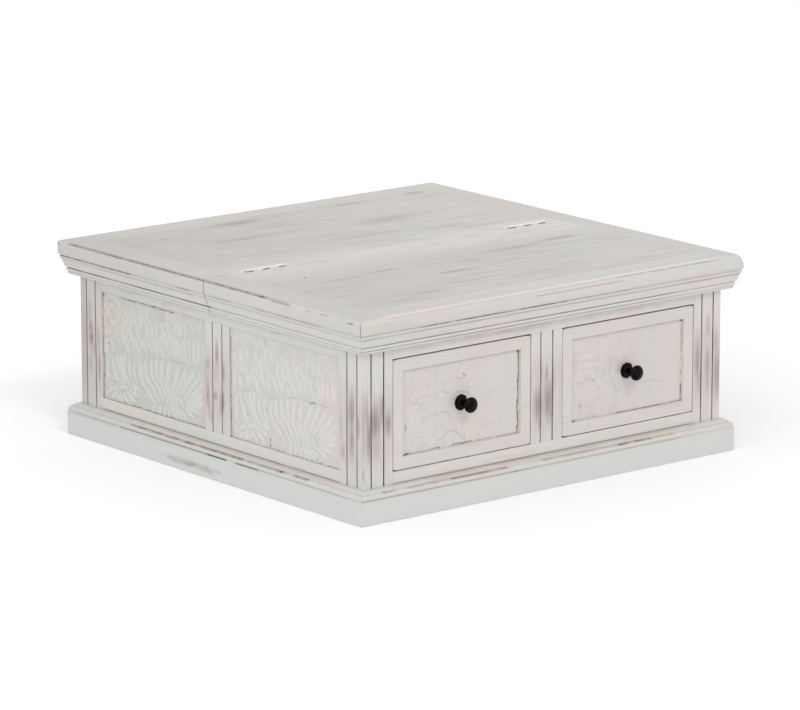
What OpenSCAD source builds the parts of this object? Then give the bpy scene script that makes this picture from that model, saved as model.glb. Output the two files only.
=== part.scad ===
// Square trunk coffee table: a fixed front half over two drawers, and a lid at the back over a
// trunk. The origin is on the floor under the table's centre, the drawers face -Y and the left
// side is -X. Lengths are in millimetres.

/* [Overall size] */
// Width of the table top, left to right
table_w = 900; // [780:10:1200]
// Depth of the table top, front to back
table_d = 900; // [780:10:1200]
// Height of the flat table top
table_h = 370; // [340:5:480]
// How far the top stands out past the body on each side
overhang = 30; // [25:1:45]

/* [Table top] */
// Thickness of the edging round the top
edging_t = 36; // [30:1:44]
// Width of the edging
edging_w = 60; // [56:1:90]
// How far the middle of the edging bulges past its upper and lower corners
edging_bulge = 6; // [2:0.5:12]
// Thickness of the two panels inside the edging
top_panel_t = 20; // [18:1:24]
// Gap between the fixed half of the top and the lid
split_gap = 1.5; // [1:0.1:3]
// Width of the rail under the split that carries the fixed panel's edge
split_rail_w = 50; // [30:1:80]
// Width of the battens under the lid
batten_w = 50; // [30:1:80]
// Distance of each lid batten from the edging beside it
batten_side_gap = 145; // [40:5:180]
// Distance of the lid battens' ends from the edging and the split rail
batten_end_gap = 10; // [4:1:30]

/* [Moulding under the top] */
// Height of the moulding
moulding_h = 26; // [22:1:34]
// How far the moulding stands out from the body at its top
moulding_out = 22; // [19:0.5:24]
// Height of the flat fillet at the moulding's top
fillet_h = 3; // [2:0.5:5]
// How far the hollow below the fillet is drawn in
cove_in = 3.5; // [2:0.5:6]
// Height of the rounded bead at the moulding's foot
bead_h = 12; // [9:0.5:15]
// Radius of the bead
bead_r = 14; // [13:0.5:24]
// Height of the bead's widest point
bead_mid = 8; // [5:0.5:9]
// How much further back the bead lies than the hollow's deepest point
bead_set = 0.3; // [0:0.1:1]
// Gap between the lid's moulding and the body
lid_moulding_gap = 0.8; // [0.4:0.1:2]

/* [Body] */
// Thickness of the frames that make the four walls
wall_t = 22; // [18:1:26]
// Width of the corner posts
post_w = 47.5; // [40:0.5:60]
// Distance of the outer groove's middle from a post's corner
post_groove_x = 18; // [12:0.5:26]
// Width of the decorative grooves
groove_w = 3; // [2:0.5:5]
// Depth of the decorative grooves
groove_depth = 3; // [1.5:0.5:5]
// Width of the uprights beside the corner posts
stile_w = 18.5; // [14:0.5:30]
// Width of the middle upright in each wall
mullion_w = 73; // [56:1:100]
// Distance between the middles of the two grooves in a middle upright
mullion_groove_span = 28; // [16:1:40]
// Height of the top rail that shows below the moulding
top_rail_show = 23; // [14:1:40]
// Height of the bottom rail that shows above the plinth
bottom_rail_show = 22; // [14:1:40]
// How far the frames reach down behind the plinth
wall_tuck = 24; // [22:1:34]
// How far the hidden foot of each bottom rail is set back
rail_foot_set = 3; // [1:0.5:6]

/* [Carved panels] */
// Gap round each carved panel
panel_gap = 1.5; // [0.5:0.1:3]
// How far the carved panels lie behind the frames
panel_recess = 3; // [1:0.5:8]
// Thickness of the boards behind the carved panels
backing_t = 5; // [3:0.5:8]

/* [Plinth] */
// Height of the plinth's flat face
plinth_face_h = 44; // [38:1:70]
// How far the plinth's face stands out from the body
plinth_out = 20.5; // [18:0.5:26]
// Step from the plinth's face in to the bead above it
cap_step = 1.7; // [0.5:0.1:3]
// Radius of the bead above the plinth's face
cap_bead_r = 6; // [4:0.5:7]
// Height of the curve above the bead
cap_curve_h = 10; // [8:0.5:13]
// Radius of that curve
cap_curve_r = 14; // [13:0.5:20]
// How far that curve's widest point stands out from the body
cap_curve_out = 13; // [11:0.5:13]

/* [Inside] */
// Thickness of the partition between drawers and trunk, and of the board between the drawers
divider_t = 18; // [12:1:24]
// Thickness of the bottom board
bottom_t = 12; // [9:1:18]
// Width of the cleats under the bottom board
cleat_w = 18; // [12:1:30]
// Height of the cleats
cleat_h = 20; // [12:1:22]
// Height of the drawer runners above the bottom board
runner_h = 8; // [6:1:14]
// How far each runner reaches under a drawer
runner_reach = 15; // [12.5:0.5:30]
// Height of the guides beside the drawers
guide_h = 20; // [12:1:40]
// Width of the kicker over each drawer
kicker_w = 30; // [20:1:60]
// Height of the kickers
kicker_h = 20; // [12:1:30]

/* [Drawers] */
// Gap at the sides and foot of each drawer front
drawer_gap = 1.5; // [1:0.1:3]
// Gap above each drawer front
drawer_top_gap = 2.5; // [1.5:0.1:4]
// Width of the frame round each drawer's panel
drawer_frame_w = 22.5; // [18:0.5:40]
// How far the drawer's panel lies behind its frame
drawer_recess = 5; // [2:0.5:8]
// Thickness of the drawer's sides and back
drawer_side_t = 12; // [8:1:16]
// Height of the drawer's sides and back
drawer_side_h = 150; // [80:1:170]
// Clearance on each side of the drawer box
drawer_side_clear = 2; // [0.5:0.1:3]
// Running clearance between a drawer and its runners
drawer_run_clear = 0.3; // [0.2:0.1:1]
// Clearance behind a closed drawer
drawer_back_clear = 5; // [2:1:20]
// Thickness of the drawer's bottom board
drawer_bottom_t = 6; // [4:1:10]
// Height of the drawer's bottom board above the lower edges of its sides
drawer_bottom_up = 8; // [4:1:15]

/* [Knobs] */
// Diameter of the knob's head
knob_d = 28.6; // [22:0.2:36]
// Thickness of the head in front of its rim
knob_front = 4.3; // [3:0.1:8]
// Thickness of the head behind its rim
knob_back = 5.5; // [4:0.1:9]
// Distance from the drawer's panel to the front of the knob
knob_reach = 34.8; // [30:0.2:40]
// Diameter of the knob's neck
neck_d = 11; // [8:0.5:14]
// Diameter of the plate behind the knob
knob_plate_d = 29.4; // [22:0.2:40]
// Thickness of the plate behind the knob
knob_plate_t = 3; // [2:0.5:5]
// Diameter of the knob's screw
knob_screw_d = 4; // [3:0.5:5]
// Diameter of the head of the knob's screw
knob_screw_head_d = 8; // [6.5:0.5:10]
// Thickness of the head of the knob's screw
knob_screw_head_t = 2.5; // [2:0.5:4]
// Depth of the screw in the knob
knob_screw_grip = 12; // [8:1:18]

/* [Hinges] */
// Length of each hinge
hinge_len = 90; // [60:1:110]
// Distance of each hinge's outer end from the edging
hinge_end_gap = 35; // [10:1:60]
// Height of the hinge pins above the table top
hinge_rise = 1; // [0.6:0.1:3]
// Number of knuckles in each hinge
knuckles = 5; // [3:2:7]
// Radius of the knuckles
knuckle_r = 3.5; // [3:0.1:5]
// Gap between neighbouring knuckles
knuckle_gap = 0.4; // [0.3:0.1:1]
// Radius of the hinge pins
pin_r = 1.5; // [1:0.1:2]
// Clearance of the pins in the knuckles
pin_clear = 0.05; // [0.02:0.01:0.1]
// Clearance of the knuckles in the wood
knuckle_clear = 0.5; // [0.4:0.1:1]
// Thickness of the leaves
leaf_t = 2; // [1.6:0.1:2.4]
// Gap between the closed leaves
leaf_gap = 0.6; // [0.4:0.1:1]
// How far the leaves reach down from the table top
leaf_h = 17; // [14:0.5:18]
// Number of screws in each leaf
leaf_screws = 3; // [2:1:4]
// Distance of the outer screws from a leaf's ends
leaf_screw_end = 12; // [8:1:20]
// Radius of the hinge screws
hinge_screw_r = 1.6; // [1.2:0.1:2]
// Radius of the hinge screws' heads
hinge_screw_head_r = 3.2; // [2.6:0.1:3.6]
// Length of the hinge screws
hinge_screw_len = 18; // [12:1:25]

/* [Joints] */
// Hairline gap between pieces glued together in one frame
joint_gap = 0.2; // [0.1:0.05:0.4]
// Clearance of the screws in their holes
screw_clear = 0.05; // [0.02:0.01:0.2]

/* [Hidden] */
$fn = 64;

// Colours of the painted wood, the old carved boards, the bare wood inside and the metal
paint = "#E4E1DB";
carved = "#DAD6CE";
bare_wood = "#BFAE96";
black_iron = "#141414";
steel = "#9A9A98";

// Overshoot of a cut past the face that it opens
cut = 1;

// The body is the table without its overhang, and its inner faces are a wall's thickness in
body_w = table_w - 2 * overhang;
body_d = table_d - 2 * overhang;
inner_w = body_w - 2 * wall_t;
inner_d = body_d - 2 * wall_t;

// Heights, from the floor up
plinth_h = plinth_face_h + cap_bead_r + cap_curve_h;
wall_bottom = plinth_h - wall_tuck;
opening_bottom = plinth_h + bottom_rail_show;
bottom_top = opening_bottom - runner_h;
bottom_low = bottom_top - bottom_t;
body_top = table_h - edging_t;
moulding_bottom = body_top - moulding_h;
opening_top = moulding_bottom - top_rail_show;
opening_h = opening_top - opening_bottom;
panel_low = table_h - top_panel_t;

// The curves of the edging and the moulding, as circles through their ends
edging_r = (pow(edging_t / 2, 2) + pow(edging_bulge, 2)) / (2 * edging_bulge);
cove_h = moulding_h - fillet_h - bead_h;
cove_r = (pow(cove_h, 2) + pow(cove_in, 2)) / (2 * cove_in);
bead_out = moulding_out - cove_in - bead_set;

// The front wall's openings, where the drawers go
front_opening_w = opening_width(body_w);
drawer_x = (mullion_w + front_opening_w) / 2;
drawer_front_w = front_opening_w - 2 * drawer_gap;
drawer_front_h = opening_h - drawer_gap - drawer_top_gap;
drawer_front_mid = opening_bottom + drawer_gap + drawer_front_h / 2;
drawer_box_w = front_opening_w - 2 * drawer_side_clear;
drawer_panel_w = drawer_front_w - 2 * drawer_frame_w;
drawer_panel_h = drawer_front_h - 2 * drawer_frame_w;
drawer_side_low = opening_bottom + drawer_run_clear;
drawer_back_y = -divider_t / 2 - drawer_back_clear;
drawer_panel_face = -body_d / 2 + drawer_recess;

// The hinge axis lies over the split, and the hinges and the battens stand off the edging
hinge_z = table_h + hinge_rise;
hinge_x = table_w / 2 - edging_w - hinge_end_gap - hinge_len / 2;
batten_x = table_w / 2 - edging_w - batten_side_gap - batten_w / 2;
knuckle_pitch = hinge_len / knuckles;

// Where a wall stands: its length, its distance from the middle and its turn about Z
function wall_span(side) = (side == "front" || side == "back") ? body_w : body_d;
function wall_out(side) = (side == "front" || side == "back") ? body_d / 2 : body_w / 2;
function wall_turn(side) =
  side == "front" ? 0 : side == "right" ? 90 : side == "back" ? 180 : -90;

// The width of one of the two openings in a wall as long as span
function opening_width(span) = (span - 2 * (post_w + stile_w) - mullion_w) / 2;

// Stands what is drawn as part of the front wall, with its face at y = 0, in any wall
module in_wall(side) {
  rotate([0, 0, wall_turn(side)]) translate([0, -wall_out(side), 0]) children();
}

// A box from its low corner to its high corner
module block(low, high) {
  translate(low) cube(high - low);
}

// A mitred piece of a frame round a rectangle w by d, on the rectangle's front side. Its profile
// is drawn with X outwards from the rectangle and Y up, within the inset and the reach given.
module mitred_piece(w, d, inset, reach) {
  joint = joint_gap / sqrt(2);
  intersection() {
    translate([0, -d / 2, 0]) rotate([90, 0, -90])
      linear_extrude(height = w + 2 * (reach + cut), center = true) children();
    linear_extrude(height = table_h + cut) polygon([
      [-w / 2 - reach + joint, -d / 2 - reach],
      [w / 2 + reach - joint, -d / 2 - reach],
      [w / 2 - inset - joint, -d / 2 + inset],
      [-w / 2 + inset + joint, -d / 2 + inset]]);
  }
}

// The same piece on any side of the table
module mitred_side(side, w, d, inset, reach) {
  along = (side == "front" || side == "back") ? w : d;
  across = (side == "front" || side == "back") ? d : w;
  rotate([0, 0, wall_turn(side)]) mitred_piece(along, across, inset, reach) children();
}

// Keeps what lies on one half of the top: the fixed half at -Y or the lid at +Y
module half_of_top(way) {
  intersection() {
    children();
    translate([0, way * (split_gap / 2 + table_d / 2), table_h / 2])
      cube([table_w + 2 * cut, table_d, table_h + 2 * cut], center = true);
  }
}

// Corner posts
module post(x_way, y_way) {
  x_out = body_w / 2;
  y_out = body_d / 2;
  color(paint) mirror([x_way > 0 ? 1 : 0, 0, 0]) mirror([0, y_way > 0 ? 1 : 0, 0])
    difference() {
      block([-x_out, -y_out, 0], [-x_out + post_w, -y_out + post_w, body_top]);
      for (x = [post_groove_x, post_w - groove_w / 2])
        block([-x_out + x - groove_w / 2, -y_out - cut, wall_bottom],
          [-x_out + x + groove_w / 2, -y_out + groove_depth, body_top + cut]);
      for (y = [post_groove_x, post_w - groove_w / 2])
        block([-x_out - cut, -y_out + y - groove_w / 2, wall_bottom],
          [-x_out + groove_depth, -y_out + y + groove_w / 2, body_top + cut]);
    }
}

module corner_post_front_left() { post(-1, -1); }
module corner_post_front_right() { post(1, -1); }
module corner_post_back_left() { post(-1, 1); }
module corner_post_back_right() { post(1, 1); }

// Rails: the top one runs up behind the moulding, and the bottom one steps back at its foot
module rails(side) {
  half = wall_span(side) / 2 - post_w - stile_w;
  color(paint) in_wall(side) {
    block([-half, 0, opening_top], [half, wall_t, body_top]);
    block([-half, 0, plinth_h], [half, wall_t, opening_bottom]);
    block([-half, rail_foot_set, wall_bottom], [half, wall_t, plinth_h]);
  }
}

module front_rails() { rails("front"); }
module left_rails() { rails("left"); }
module right_rails() { rails("right"); }
module back_rails() { rails("back"); }

// Uprights: one beside each post, and a grooved one in the middle
module uprights(side) {
  outer = wall_span(side) / 2 - post_w;
  color(paint) in_wall(side) {
    for (way = [-1, 1])
      block([way > 0 ? outer - stile_w : -outer, 0, wall_bottom],
        [way > 0 ? outer : stile_w - outer, wall_t, body_top]);
    difference() {
      block([-mullion_w / 2, 0, opening_bottom], [mullion_w / 2, wall_t, opening_top]);
      for (way = [-1, 1])
        translate([way * mullion_groove_span / 2 - groove_w / 2, -cut, opening_bottom - cut])
          cube([groove_w, groove_depth + cut, opening_h + 2 * cut]);
    }
  }
}

module front_uprights() { uprights("front"); }
module left_uprights() { uprights("left"); }
module right_uprights() { uprights("right"); }
module back_uprights() { uprights("back"); }

// Carved panels: way is -1 for the opening on the left and 1 for the one on the right, seen from
// outside
module carved_panel(side, way) {
  w = opening_width(wall_span(side));
  x_mid = way * (mullion_w + w) / 2;
  color(carved) in_wall(side)
    block([x_mid - w / 2 + panel_gap, panel_recess, opening_bottom + panel_gap],
      [x_mid + w / 2 - panel_gap, wall_t, opening_top - panel_gap]);
}

module left_panel_front() { carved_panel("left", 1); }
module left_panel_back() { carved_panel("left", -1); }
module right_panel_front() { carved_panel("right", -1); }
module right_panel_back() { carved_panel("right", 1); }
module back_panel_left() { carved_panel("back", 1); }
module back_panel_right() { carved_panel("back", -1); }

// Boards behind the carved panels, between the corner posts
module backing_boards() {
  color(bare_wood) for (side = ["left", "right", "back"])
    in_wall(side) translate([0, wall_t, 0])
      block([post_w - wall_span(side) / 2, 0, bottom_top],
        [wall_span(side) / 2 - post_w, backing_t, body_top]);
}

// Plinth boards, with the bead and curve on their upper edges
module plinth_profile() {
  bead_x = plinth_out - cap_step - cap_bead_r;
  bead_top = plinth_face_h + cap_bead_r;
  square([plinth_out, plinth_face_h]);
  translate([0, plinth_face_h]) square([bead_x, cap_bead_r]);
  intersection() {
    translate([bead_x, plinth_face_h]) circle(r = cap_bead_r);
    translate([bead_x, plinth_face_h]) square(cap_bead_r);
  }
  intersection() {
    translate([cap_curve_out - cap_curve_r, plinth_h - cap_curve_r]) circle(r = cap_curve_r);
    translate([0, bead_top]) square([plinth_out, cap_curve_h]);
  }
}

module plinth(side) {
  color(paint) mitred_side(side, body_w, body_d, 0, plinth_out) plinth_profile();
}

module plinth_front() { plinth("front"); }
module plinth_back() { plinth("back"); }
module plinth_left() { plinth("left"); }
module plinth_right() { plinth("right"); }

// The bottom board, notched round the corner posts, on cleats along the walls
module bottom_board() {
  color(bare_wood) difference() {
    block([-inner_w / 2, -inner_d / 2, bottom_low], [inner_w / 2, inner_d / 2, bottom_top]);
    for (x = [-1, 1], y = [-1, 1])
      translate([x * body_w / 2, y * body_d / 2, bottom_low + bottom_t / 2])
        cube([2 * post_w, 2 * post_w, bottom_t + 2 * cut], center = true);
  }
}

module bottom_cleats() {
  color(bare_wood) for (side = ["front", "right", "back", "left"])
    in_wall(side) translate([0, wall_t, 0])
      block([post_w + cleat_w - wall_span(side) / 2, 0, bottom_low - cleat_h],
        [wall_span(side) / 2 - post_w - cleat_w, cleat_w, bottom_low]);
}

// The partition between the drawers and the trunk, and the board between the drawers
module centre_partition() {
  half = inner_w / 2 - backing_t;
  color(bare_wood) block([-half, -divider_t / 2, bottom_top], [half, divider_t / 2, body_top]);
}

module drawer_divider() {
  color(bare_wood) block([-divider_t / 2, -inner_d / 2, bottom_top],
    [divider_t / 2, -divider_t / 2, body_top]);
}

// The rail on the partition, under the edges of the fixed panel and the lid
module split_rail() {
  half = table_w / 2 - edging_w;
  color(bare_wood) block([-half, divider_t / 2 - split_rail_w, body_top],
    [half, divider_t / 2, panel_low]);
}

// Runners under the drawers' sides, guides beside them and kickers over them. The runners and
// the guides fill the space from each opening's edge to the divider or the backing board.
module beside_drawers(reach, low, high) {
  near = drawer_x - front_opening_w / 2;
  far = drawer_x + front_opening_w / 2;
  for (way = [-1, 1]) scale([way, 1, 1]) {
    block([divider_t / 2, -inner_d / 2, low], [near + reach, -divider_t / 2, high]);
    block([far - reach, post_w - body_d / 2, low],
      [inner_w / 2 - backing_t, -divider_t / 2, high]);
  }
}

module drawer_runners() {
  color(bare_wood) beside_drawers(runner_reach, bottom_top, opening_bottom);
}

module drawer_guides() {
  color(bare_wood) beside_drawers(0, opening_bottom, opening_bottom + guide_h);
}

module drawer_kickers() {
  color(bare_wood) for (way = [-1, 1])
    translate([way * drawer_x - kicker_w / 2, -inner_d / 2, opening_top])
      cube([kicker_w, inner_d / 2 - divider_t / 2, kicker_h]);
}

// The edging of the top, a frame with a bulging face
module edging_profile() {
  translate([-edging_w, body_top]) intersection() {
    square([edging_w, edging_t]);
    union() {
      square([edging_w - edging_r, edging_t]);
      translate([edging_w - edging_r, edging_t / 2]) circle(r = edging_r);
    }
  }
}

module edging(side) {
  mitred_side(side, table_w, table_d, edging_w, 0) edging_profile();
}

module front_top_edging() {
  color(paint) half_of_top(-1) for (side = ["front", "left", "right"]) edging(side);
}

module lid_edging() {
  color(paint) half_of_top(1) for (side = ["back", "left", "right"]) edging(side);
}

// The moulding under the edging: a bead at the foot, a hollow above it and a flat fillet
module moulding_profile(gap) {
  difference() {
    translate([0, moulding_bottom]) {
      intersection() {
        square([bead_out, bead_h]);
        translate([bead_out - bead_r, bead_mid]) circle(r = bead_r);
      }
      difference() {
        translate([0, bead_h]) square([moulding_out, moulding_h - bead_h]);
        translate([moulding_out - cove_in + cove_r, bead_h]) circle(r = cove_r);
      }
    }
    translate([gap - moulding_out, moulding_bottom - cut])
      square([moulding_out, moulding_h + 2 * cut]);
  }
}

module moulding(side, gap) {
  mitred_side(side, body_w, body_d, 0, moulding_out) moulding_profile(gap);
}

module front_top_moulding() {
  color(paint) half_of_top(-1) for (side = ["front", "left", "right"]) moulding(side, 0);
}

module lid_moulding() {
  color(paint) half_of_top(1)
    for (side = ["back", "left", "right"]) moulding(side, lid_moulding_gap);
}

// One half of the flat top inside the edging, cut out for the hinges
module top_panel(way) {
  half_w = table_w / 2 - edging_w;
  color(paint) difference() {
    mirror([0, way > 0 ? 1 : 0, 0])
      block([-half_w, edging_w - table_d / 2, panel_low], [half_w, -split_gap / 2, table_h]);
    for (x = [-hinge_x, hinge_x]) translate([x, 0, 0]) {
      translate([0, 0, hinge_z]) rotate([0, 90, 0])
        cylinder(r = knuckle_r + knuckle_clear, h = hinge_len + 2 * knuckle_clear,
          center = true);
      block([-hinge_len / 2, -leaf_gap / 2 - leaf_t, table_h - leaf_h],
        [hinge_len / 2, leaf_gap / 2 + leaf_t, table_h + cut]);
      leaf_screw_places() leaf_screw(way, screw_clear);
    }
  }
}

module front_top_panel() { top_panel(-1); }
module lid_panel() { top_panel(1); }

// Battens that keep the lid flat
module lid_battens() {
  y_low = divider_t / 2 + batten_end_gap;
  y_high = table_d / 2 - edging_w - batten_end_gap;
  color(bare_wood) for (way = [-1, 1])
    translate([way * batten_x - batten_w / 2, y_low, body_top])
      cube([batten_w, y_high - y_low, panel_low - body_top]);
}

// Butt hinges: the leaves are let into the edges of the two halves, with the knuckles on top
module leaf_screw_places() {
  first = leaf_screw_end - hinge_len / 2;
  step = (hinge_len - 2 * leaf_screw_end) / (leaf_screws - 1);
  for (i = [0 : leaf_screws - 1])
    translate([first + i * step, 0, table_h - (leaf_h + knuckle_r) / 2]) children();
}

// A countersunk screw from the inner face of a leaf into the wood, grown by the clearance given
module leaf_screw(way, clear) {
  head_t = hinge_screw_head_r - hinge_screw_r;
  translate([0, way * leaf_gap / 2, 0]) rotate([-90 * way, 0, 0]) {
    cylinder(r1 = hinge_screw_head_r + clear, r2 = hinge_screw_r + clear, h = head_t);
    cylinder(r = hinge_screw_r + clear, h = hinge_screw_len + clear);
  }
}

// Knuckles of one leaf: the fixed leaf has those at the ends and every second one between
module knuckle_row(first, r, extra) {
  for (i = [first : 2 : knuckles - 1])
    translate([(i + 0.5) * knuckle_pitch - hinge_len / 2, 0, hinge_z]) rotate([0, 90, 0])
      cylinder(r = r, h = knuckle_pitch - knuckle_gap + extra, center = true);
}

module hinge_leaf(way, first) {
  difference() {
    union() {
      mirror([0, way > 0 ? 1 : 0, 0])
        block([-hinge_len / 2 + knuckle_gap / 2, -leaf_gap / 2 - leaf_t, table_h - leaf_h],
          [hinge_len / 2 - knuckle_gap / 2, -leaf_gap / 2, hinge_z]);
      knuckle_row(first, knuckle_r, 0);
    }
    knuckle_row(1 - first, knuckle_r + knuckle_gap, 2 * knuckle_gap);
    translate([0, 0, hinge_z]) rotate([0, 90, 0])
      cylinder(r = pin_r + pin_clear, h = hinge_len + 2 * cut, center = true);
    leaf_screw_places() leaf_screw(way, screw_clear);
  }
}

module hinge_fixed_leaves() {
  color(paint) for (x = [-hinge_x, hinge_x]) translate([x, 0, 0]) hinge_leaf(-1, 0);
}

module hinge_lid_leaves() {
  color(paint) for (x = [-hinge_x, hinge_x]) translate([x, 0, 0]) hinge_leaf(1, 1);
}

module hinge_pins() {
  color(steel) for (x = [-hinge_x, hinge_x]) translate([x, 0, hinge_z]) rotate([0, 90, 0])
    cylinder(r = pin_r, h = hinge_len, center = true);
}

module hinge_fixed_screws() {
  color(steel) for (x = [-hinge_x, hinge_x])
    translate([x, 0, 0]) leaf_screw_places() leaf_screw(-1, 0);
}

module hinge_lid_screws() {
  color(steel) for (x = [-hinge_x, hinge_x])
    translate([x, 0, 0]) leaf_screw_places() leaf_screw(1, 0);
}

// Drawer fronts: a frame flush with the body round a panel set back in it
module drawer_frame(way) {
  half_w = drawer_front_w / 2;
  half_h = drawer_front_h / 2;
  color(paint) translate([way * drawer_x, -body_d / 2, drawer_front_mid])
    for (end = [0, 1]) {
      mirror([end, 0, 0])
        block([-half_w, 0, -half_h], [drawer_frame_w - half_w, wall_t, half_h]);
      mirror([0, 0, end])
        block([drawer_frame_w + joint_gap - half_w, 0, -half_h],
          [half_w - drawer_frame_w - joint_gap, wall_t, drawer_frame_w - half_h]);
    }
}

module drawer_panel(way) {
  color(carved) translate([way * drawer_x, 0, drawer_front_mid]) difference() {
    block([-drawer_panel_w / 2, drawer_panel_face, -drawer_panel_h / 2],
      [drawer_panel_w / 2, -inner_d / 2, drawer_panel_h / 2]);
    translate([0, drawer_panel_face - cut, 0]) rotate([-90, 0, 0])
      cylinder(d = knob_screw_d + 2 * screw_clear, h = wall_t + 2 * cut);
  }
}

// The drawer box: two sides, a back between them and a bottom
module drawer_sides(way) {
  color(bare_wood) translate([way * drawer_x, 0, drawer_side_low]) for (end = [0, 1])
    mirror([end, 0, 0])
      block([-drawer_box_w / 2, -inner_d / 2, 0],
        [drawer_side_t - drawer_box_w / 2, drawer_back_y, drawer_side_h]);
}

module drawer_back(way) {
  half = drawer_box_w / 2 - drawer_side_t;
  color(bare_wood) translate([way * drawer_x, drawer_back_y - drawer_side_t, drawer_side_low])
    block([-half, 0, 0], [half, drawer_side_t, drawer_side_h]);
}

module drawer_bottom(way) {
  half = drawer_box_w / 2 - drawer_side_t;
  color(bare_wood) translate([way * drawer_x, 0, drawer_side_low + drawer_bottom_up])
    block([-half, -inner_d / 2, 0], [half, drawer_back_y - drawer_side_t, drawer_bottom_t]);
}

// Knobs: a plate on the panel, a turned neck and a flattened round head. What is drawn along +Z
// stands on the drawer's panel and points to the front.
module on_drawer_panel(way) {
  translate([way * drawer_x, drawer_panel_face, drawer_front_mid]) rotate([90, 0, 0]) children();
}

function cap_radius(half_width, height) =
  (pow(half_width, 2) + pow(height, 2)) / (2 * height);

module knob_head_profile() {
  front_r = cap_radius(knob_d / 2, knob_front);
  back_r = cap_radius(knob_d / 2, knob_back);
  rim = knob_reach - knob_front;
  intersection() {
    translate([0, rim + knob_front - front_r]) circle(r = front_r);
    translate([0, rim - knob_back + back_r]) circle(r = back_r);
    translate([0, rim - knob_back]) square([knob_d / 2, knob_front + knob_back]);
  }
}

module knob(way) {
  rim = knob_reach - knob_front;
  color(black_iron) on_drawer_panel(way) difference() {
    union() {
      rotate_extrude() knob_head_profile();
      translate([0, 0, knob_plate_t]) cylinder(d = neck_d, h = rim - knob_plate_t);
    }
    cylinder(d = knob_screw_d + 2 * screw_clear, h = knob_plate_t + knob_screw_grip);
  }
}

module knob_plate(way) {
  color(black_iron) on_drawer_panel(way) difference() {
    cylinder(d = knob_plate_d, h = knob_plate_t);
    translate([0, 0, -cut])
      cylinder(d = knob_screw_d + 2 * screw_clear, h = knob_plate_t + 2 * cut);
  }
}

module knob_screw(way) {
  panel_t = wall_t - drawer_recess;
  color(steel) on_drawer_panel(way) {
    translate([0, 0, -panel_t])
      cylinder(d = knob_screw_d, h = panel_t + knob_plate_t + knob_screw_grip);
    translate([0, 0, -panel_t - knob_screw_head_t])
      cylinder(d = knob_screw_head_d, h = knob_screw_head_t);
  }
}

module drawer_left_frame() { drawer_frame(-1); }
module drawer_left_panel() { drawer_panel(-1); }
module drawer_left_sides() { drawer_sides(-1); }
module drawer_left_back() { drawer_back(-1); }
module drawer_left_bottom() { drawer_bottom(-1); }
module drawer_left_knob() { knob(-1); }
module drawer_left_knob_plate() { knob_plate(-1); }
module drawer_left_knob_screw() { knob_screw(-1); }
module drawer_right_frame() { drawer_frame(1); }
module drawer_right_panel() { drawer_panel(1); }
module drawer_right_sides() { drawer_sides(1); }
module drawer_right_back() { drawer_back(1); }
module drawer_right_bottom() { drawer_bottom(1); }
module drawer_right_knob() { knob(1); }
module drawer_right_knob_plate() { knob_plate(1); }
module drawer_right_knob_screw() { knob_screw(1); }

corner_post_front_left();
corner_post_front_right();
corner_post_back_left();
corner_post_back_right();
front_rails();
front_uprights();
left_rails();
left_uprights();
left_panel_front();
left_panel_back();
right_rails();
right_uprights();
right_panel_front();
right_panel_back();
back_rails();
back_uprights();
back_panel_left();
back_panel_right();
backing_boards();
plinth_front();
plinth_back();
plinth_left();
plinth_right();
bottom_board();
bottom_cleats();
centre_partition();
drawer_divider();
drawer_runners();
drawer_guides();
drawer_kickers();
split_rail();
front_top_panel();
front_top_edging();
front_top_moulding();
lid_panel();
lid_edging();
lid_moulding();
lid_battens();
hinge_fixed_leaves();
hinge_lid_leaves();
hinge_pins();
hinge_fixed_screws();
hinge_lid_screws();
drawer_left_frame();
drawer_left_panel();
drawer_left_sides();
drawer_left_back();
drawer_left_bottom();
drawer_left_knob();
drawer_left_knob_plate();
drawer_left_knob_screw();
drawer_right_frame();
drawer_right_panel();
drawer_right_sides();
drawer_right_back();
drawer_right_bottom();
drawer_right_knob();
drawer_right_knob_plate();
drawer_right_knob_screw();
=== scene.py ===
"""Looks of the whitewashed trunk coffee table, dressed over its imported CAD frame.

The frame is the CAD's own: +Z is up, the drawers face -Y, and the origin is on the floor under the
table's centre. Sizes and places on the table are in millimetres, and MM turns them into the scene's
metres. The floor's size and the camera's place are in metres.
"""

import functools
import math

import bpy
import numpy as np
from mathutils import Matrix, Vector


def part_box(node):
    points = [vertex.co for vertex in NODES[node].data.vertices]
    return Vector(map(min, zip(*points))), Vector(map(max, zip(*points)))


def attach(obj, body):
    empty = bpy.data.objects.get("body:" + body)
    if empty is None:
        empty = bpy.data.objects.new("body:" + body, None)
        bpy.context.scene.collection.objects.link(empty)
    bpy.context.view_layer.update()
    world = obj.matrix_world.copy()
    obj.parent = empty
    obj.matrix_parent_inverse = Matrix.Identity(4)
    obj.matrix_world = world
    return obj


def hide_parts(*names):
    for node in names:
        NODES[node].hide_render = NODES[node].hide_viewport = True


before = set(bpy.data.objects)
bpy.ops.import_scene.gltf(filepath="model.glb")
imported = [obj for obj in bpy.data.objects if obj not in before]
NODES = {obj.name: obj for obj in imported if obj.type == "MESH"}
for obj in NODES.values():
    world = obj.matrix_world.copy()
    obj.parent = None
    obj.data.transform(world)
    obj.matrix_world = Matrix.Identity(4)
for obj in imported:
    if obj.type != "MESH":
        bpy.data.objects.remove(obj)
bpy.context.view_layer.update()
MM = 0.001


def box(node):
    """The lowest and the highest corner of a node's box."""
    low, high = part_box(node)
    return low / MM, high / MM


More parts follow.
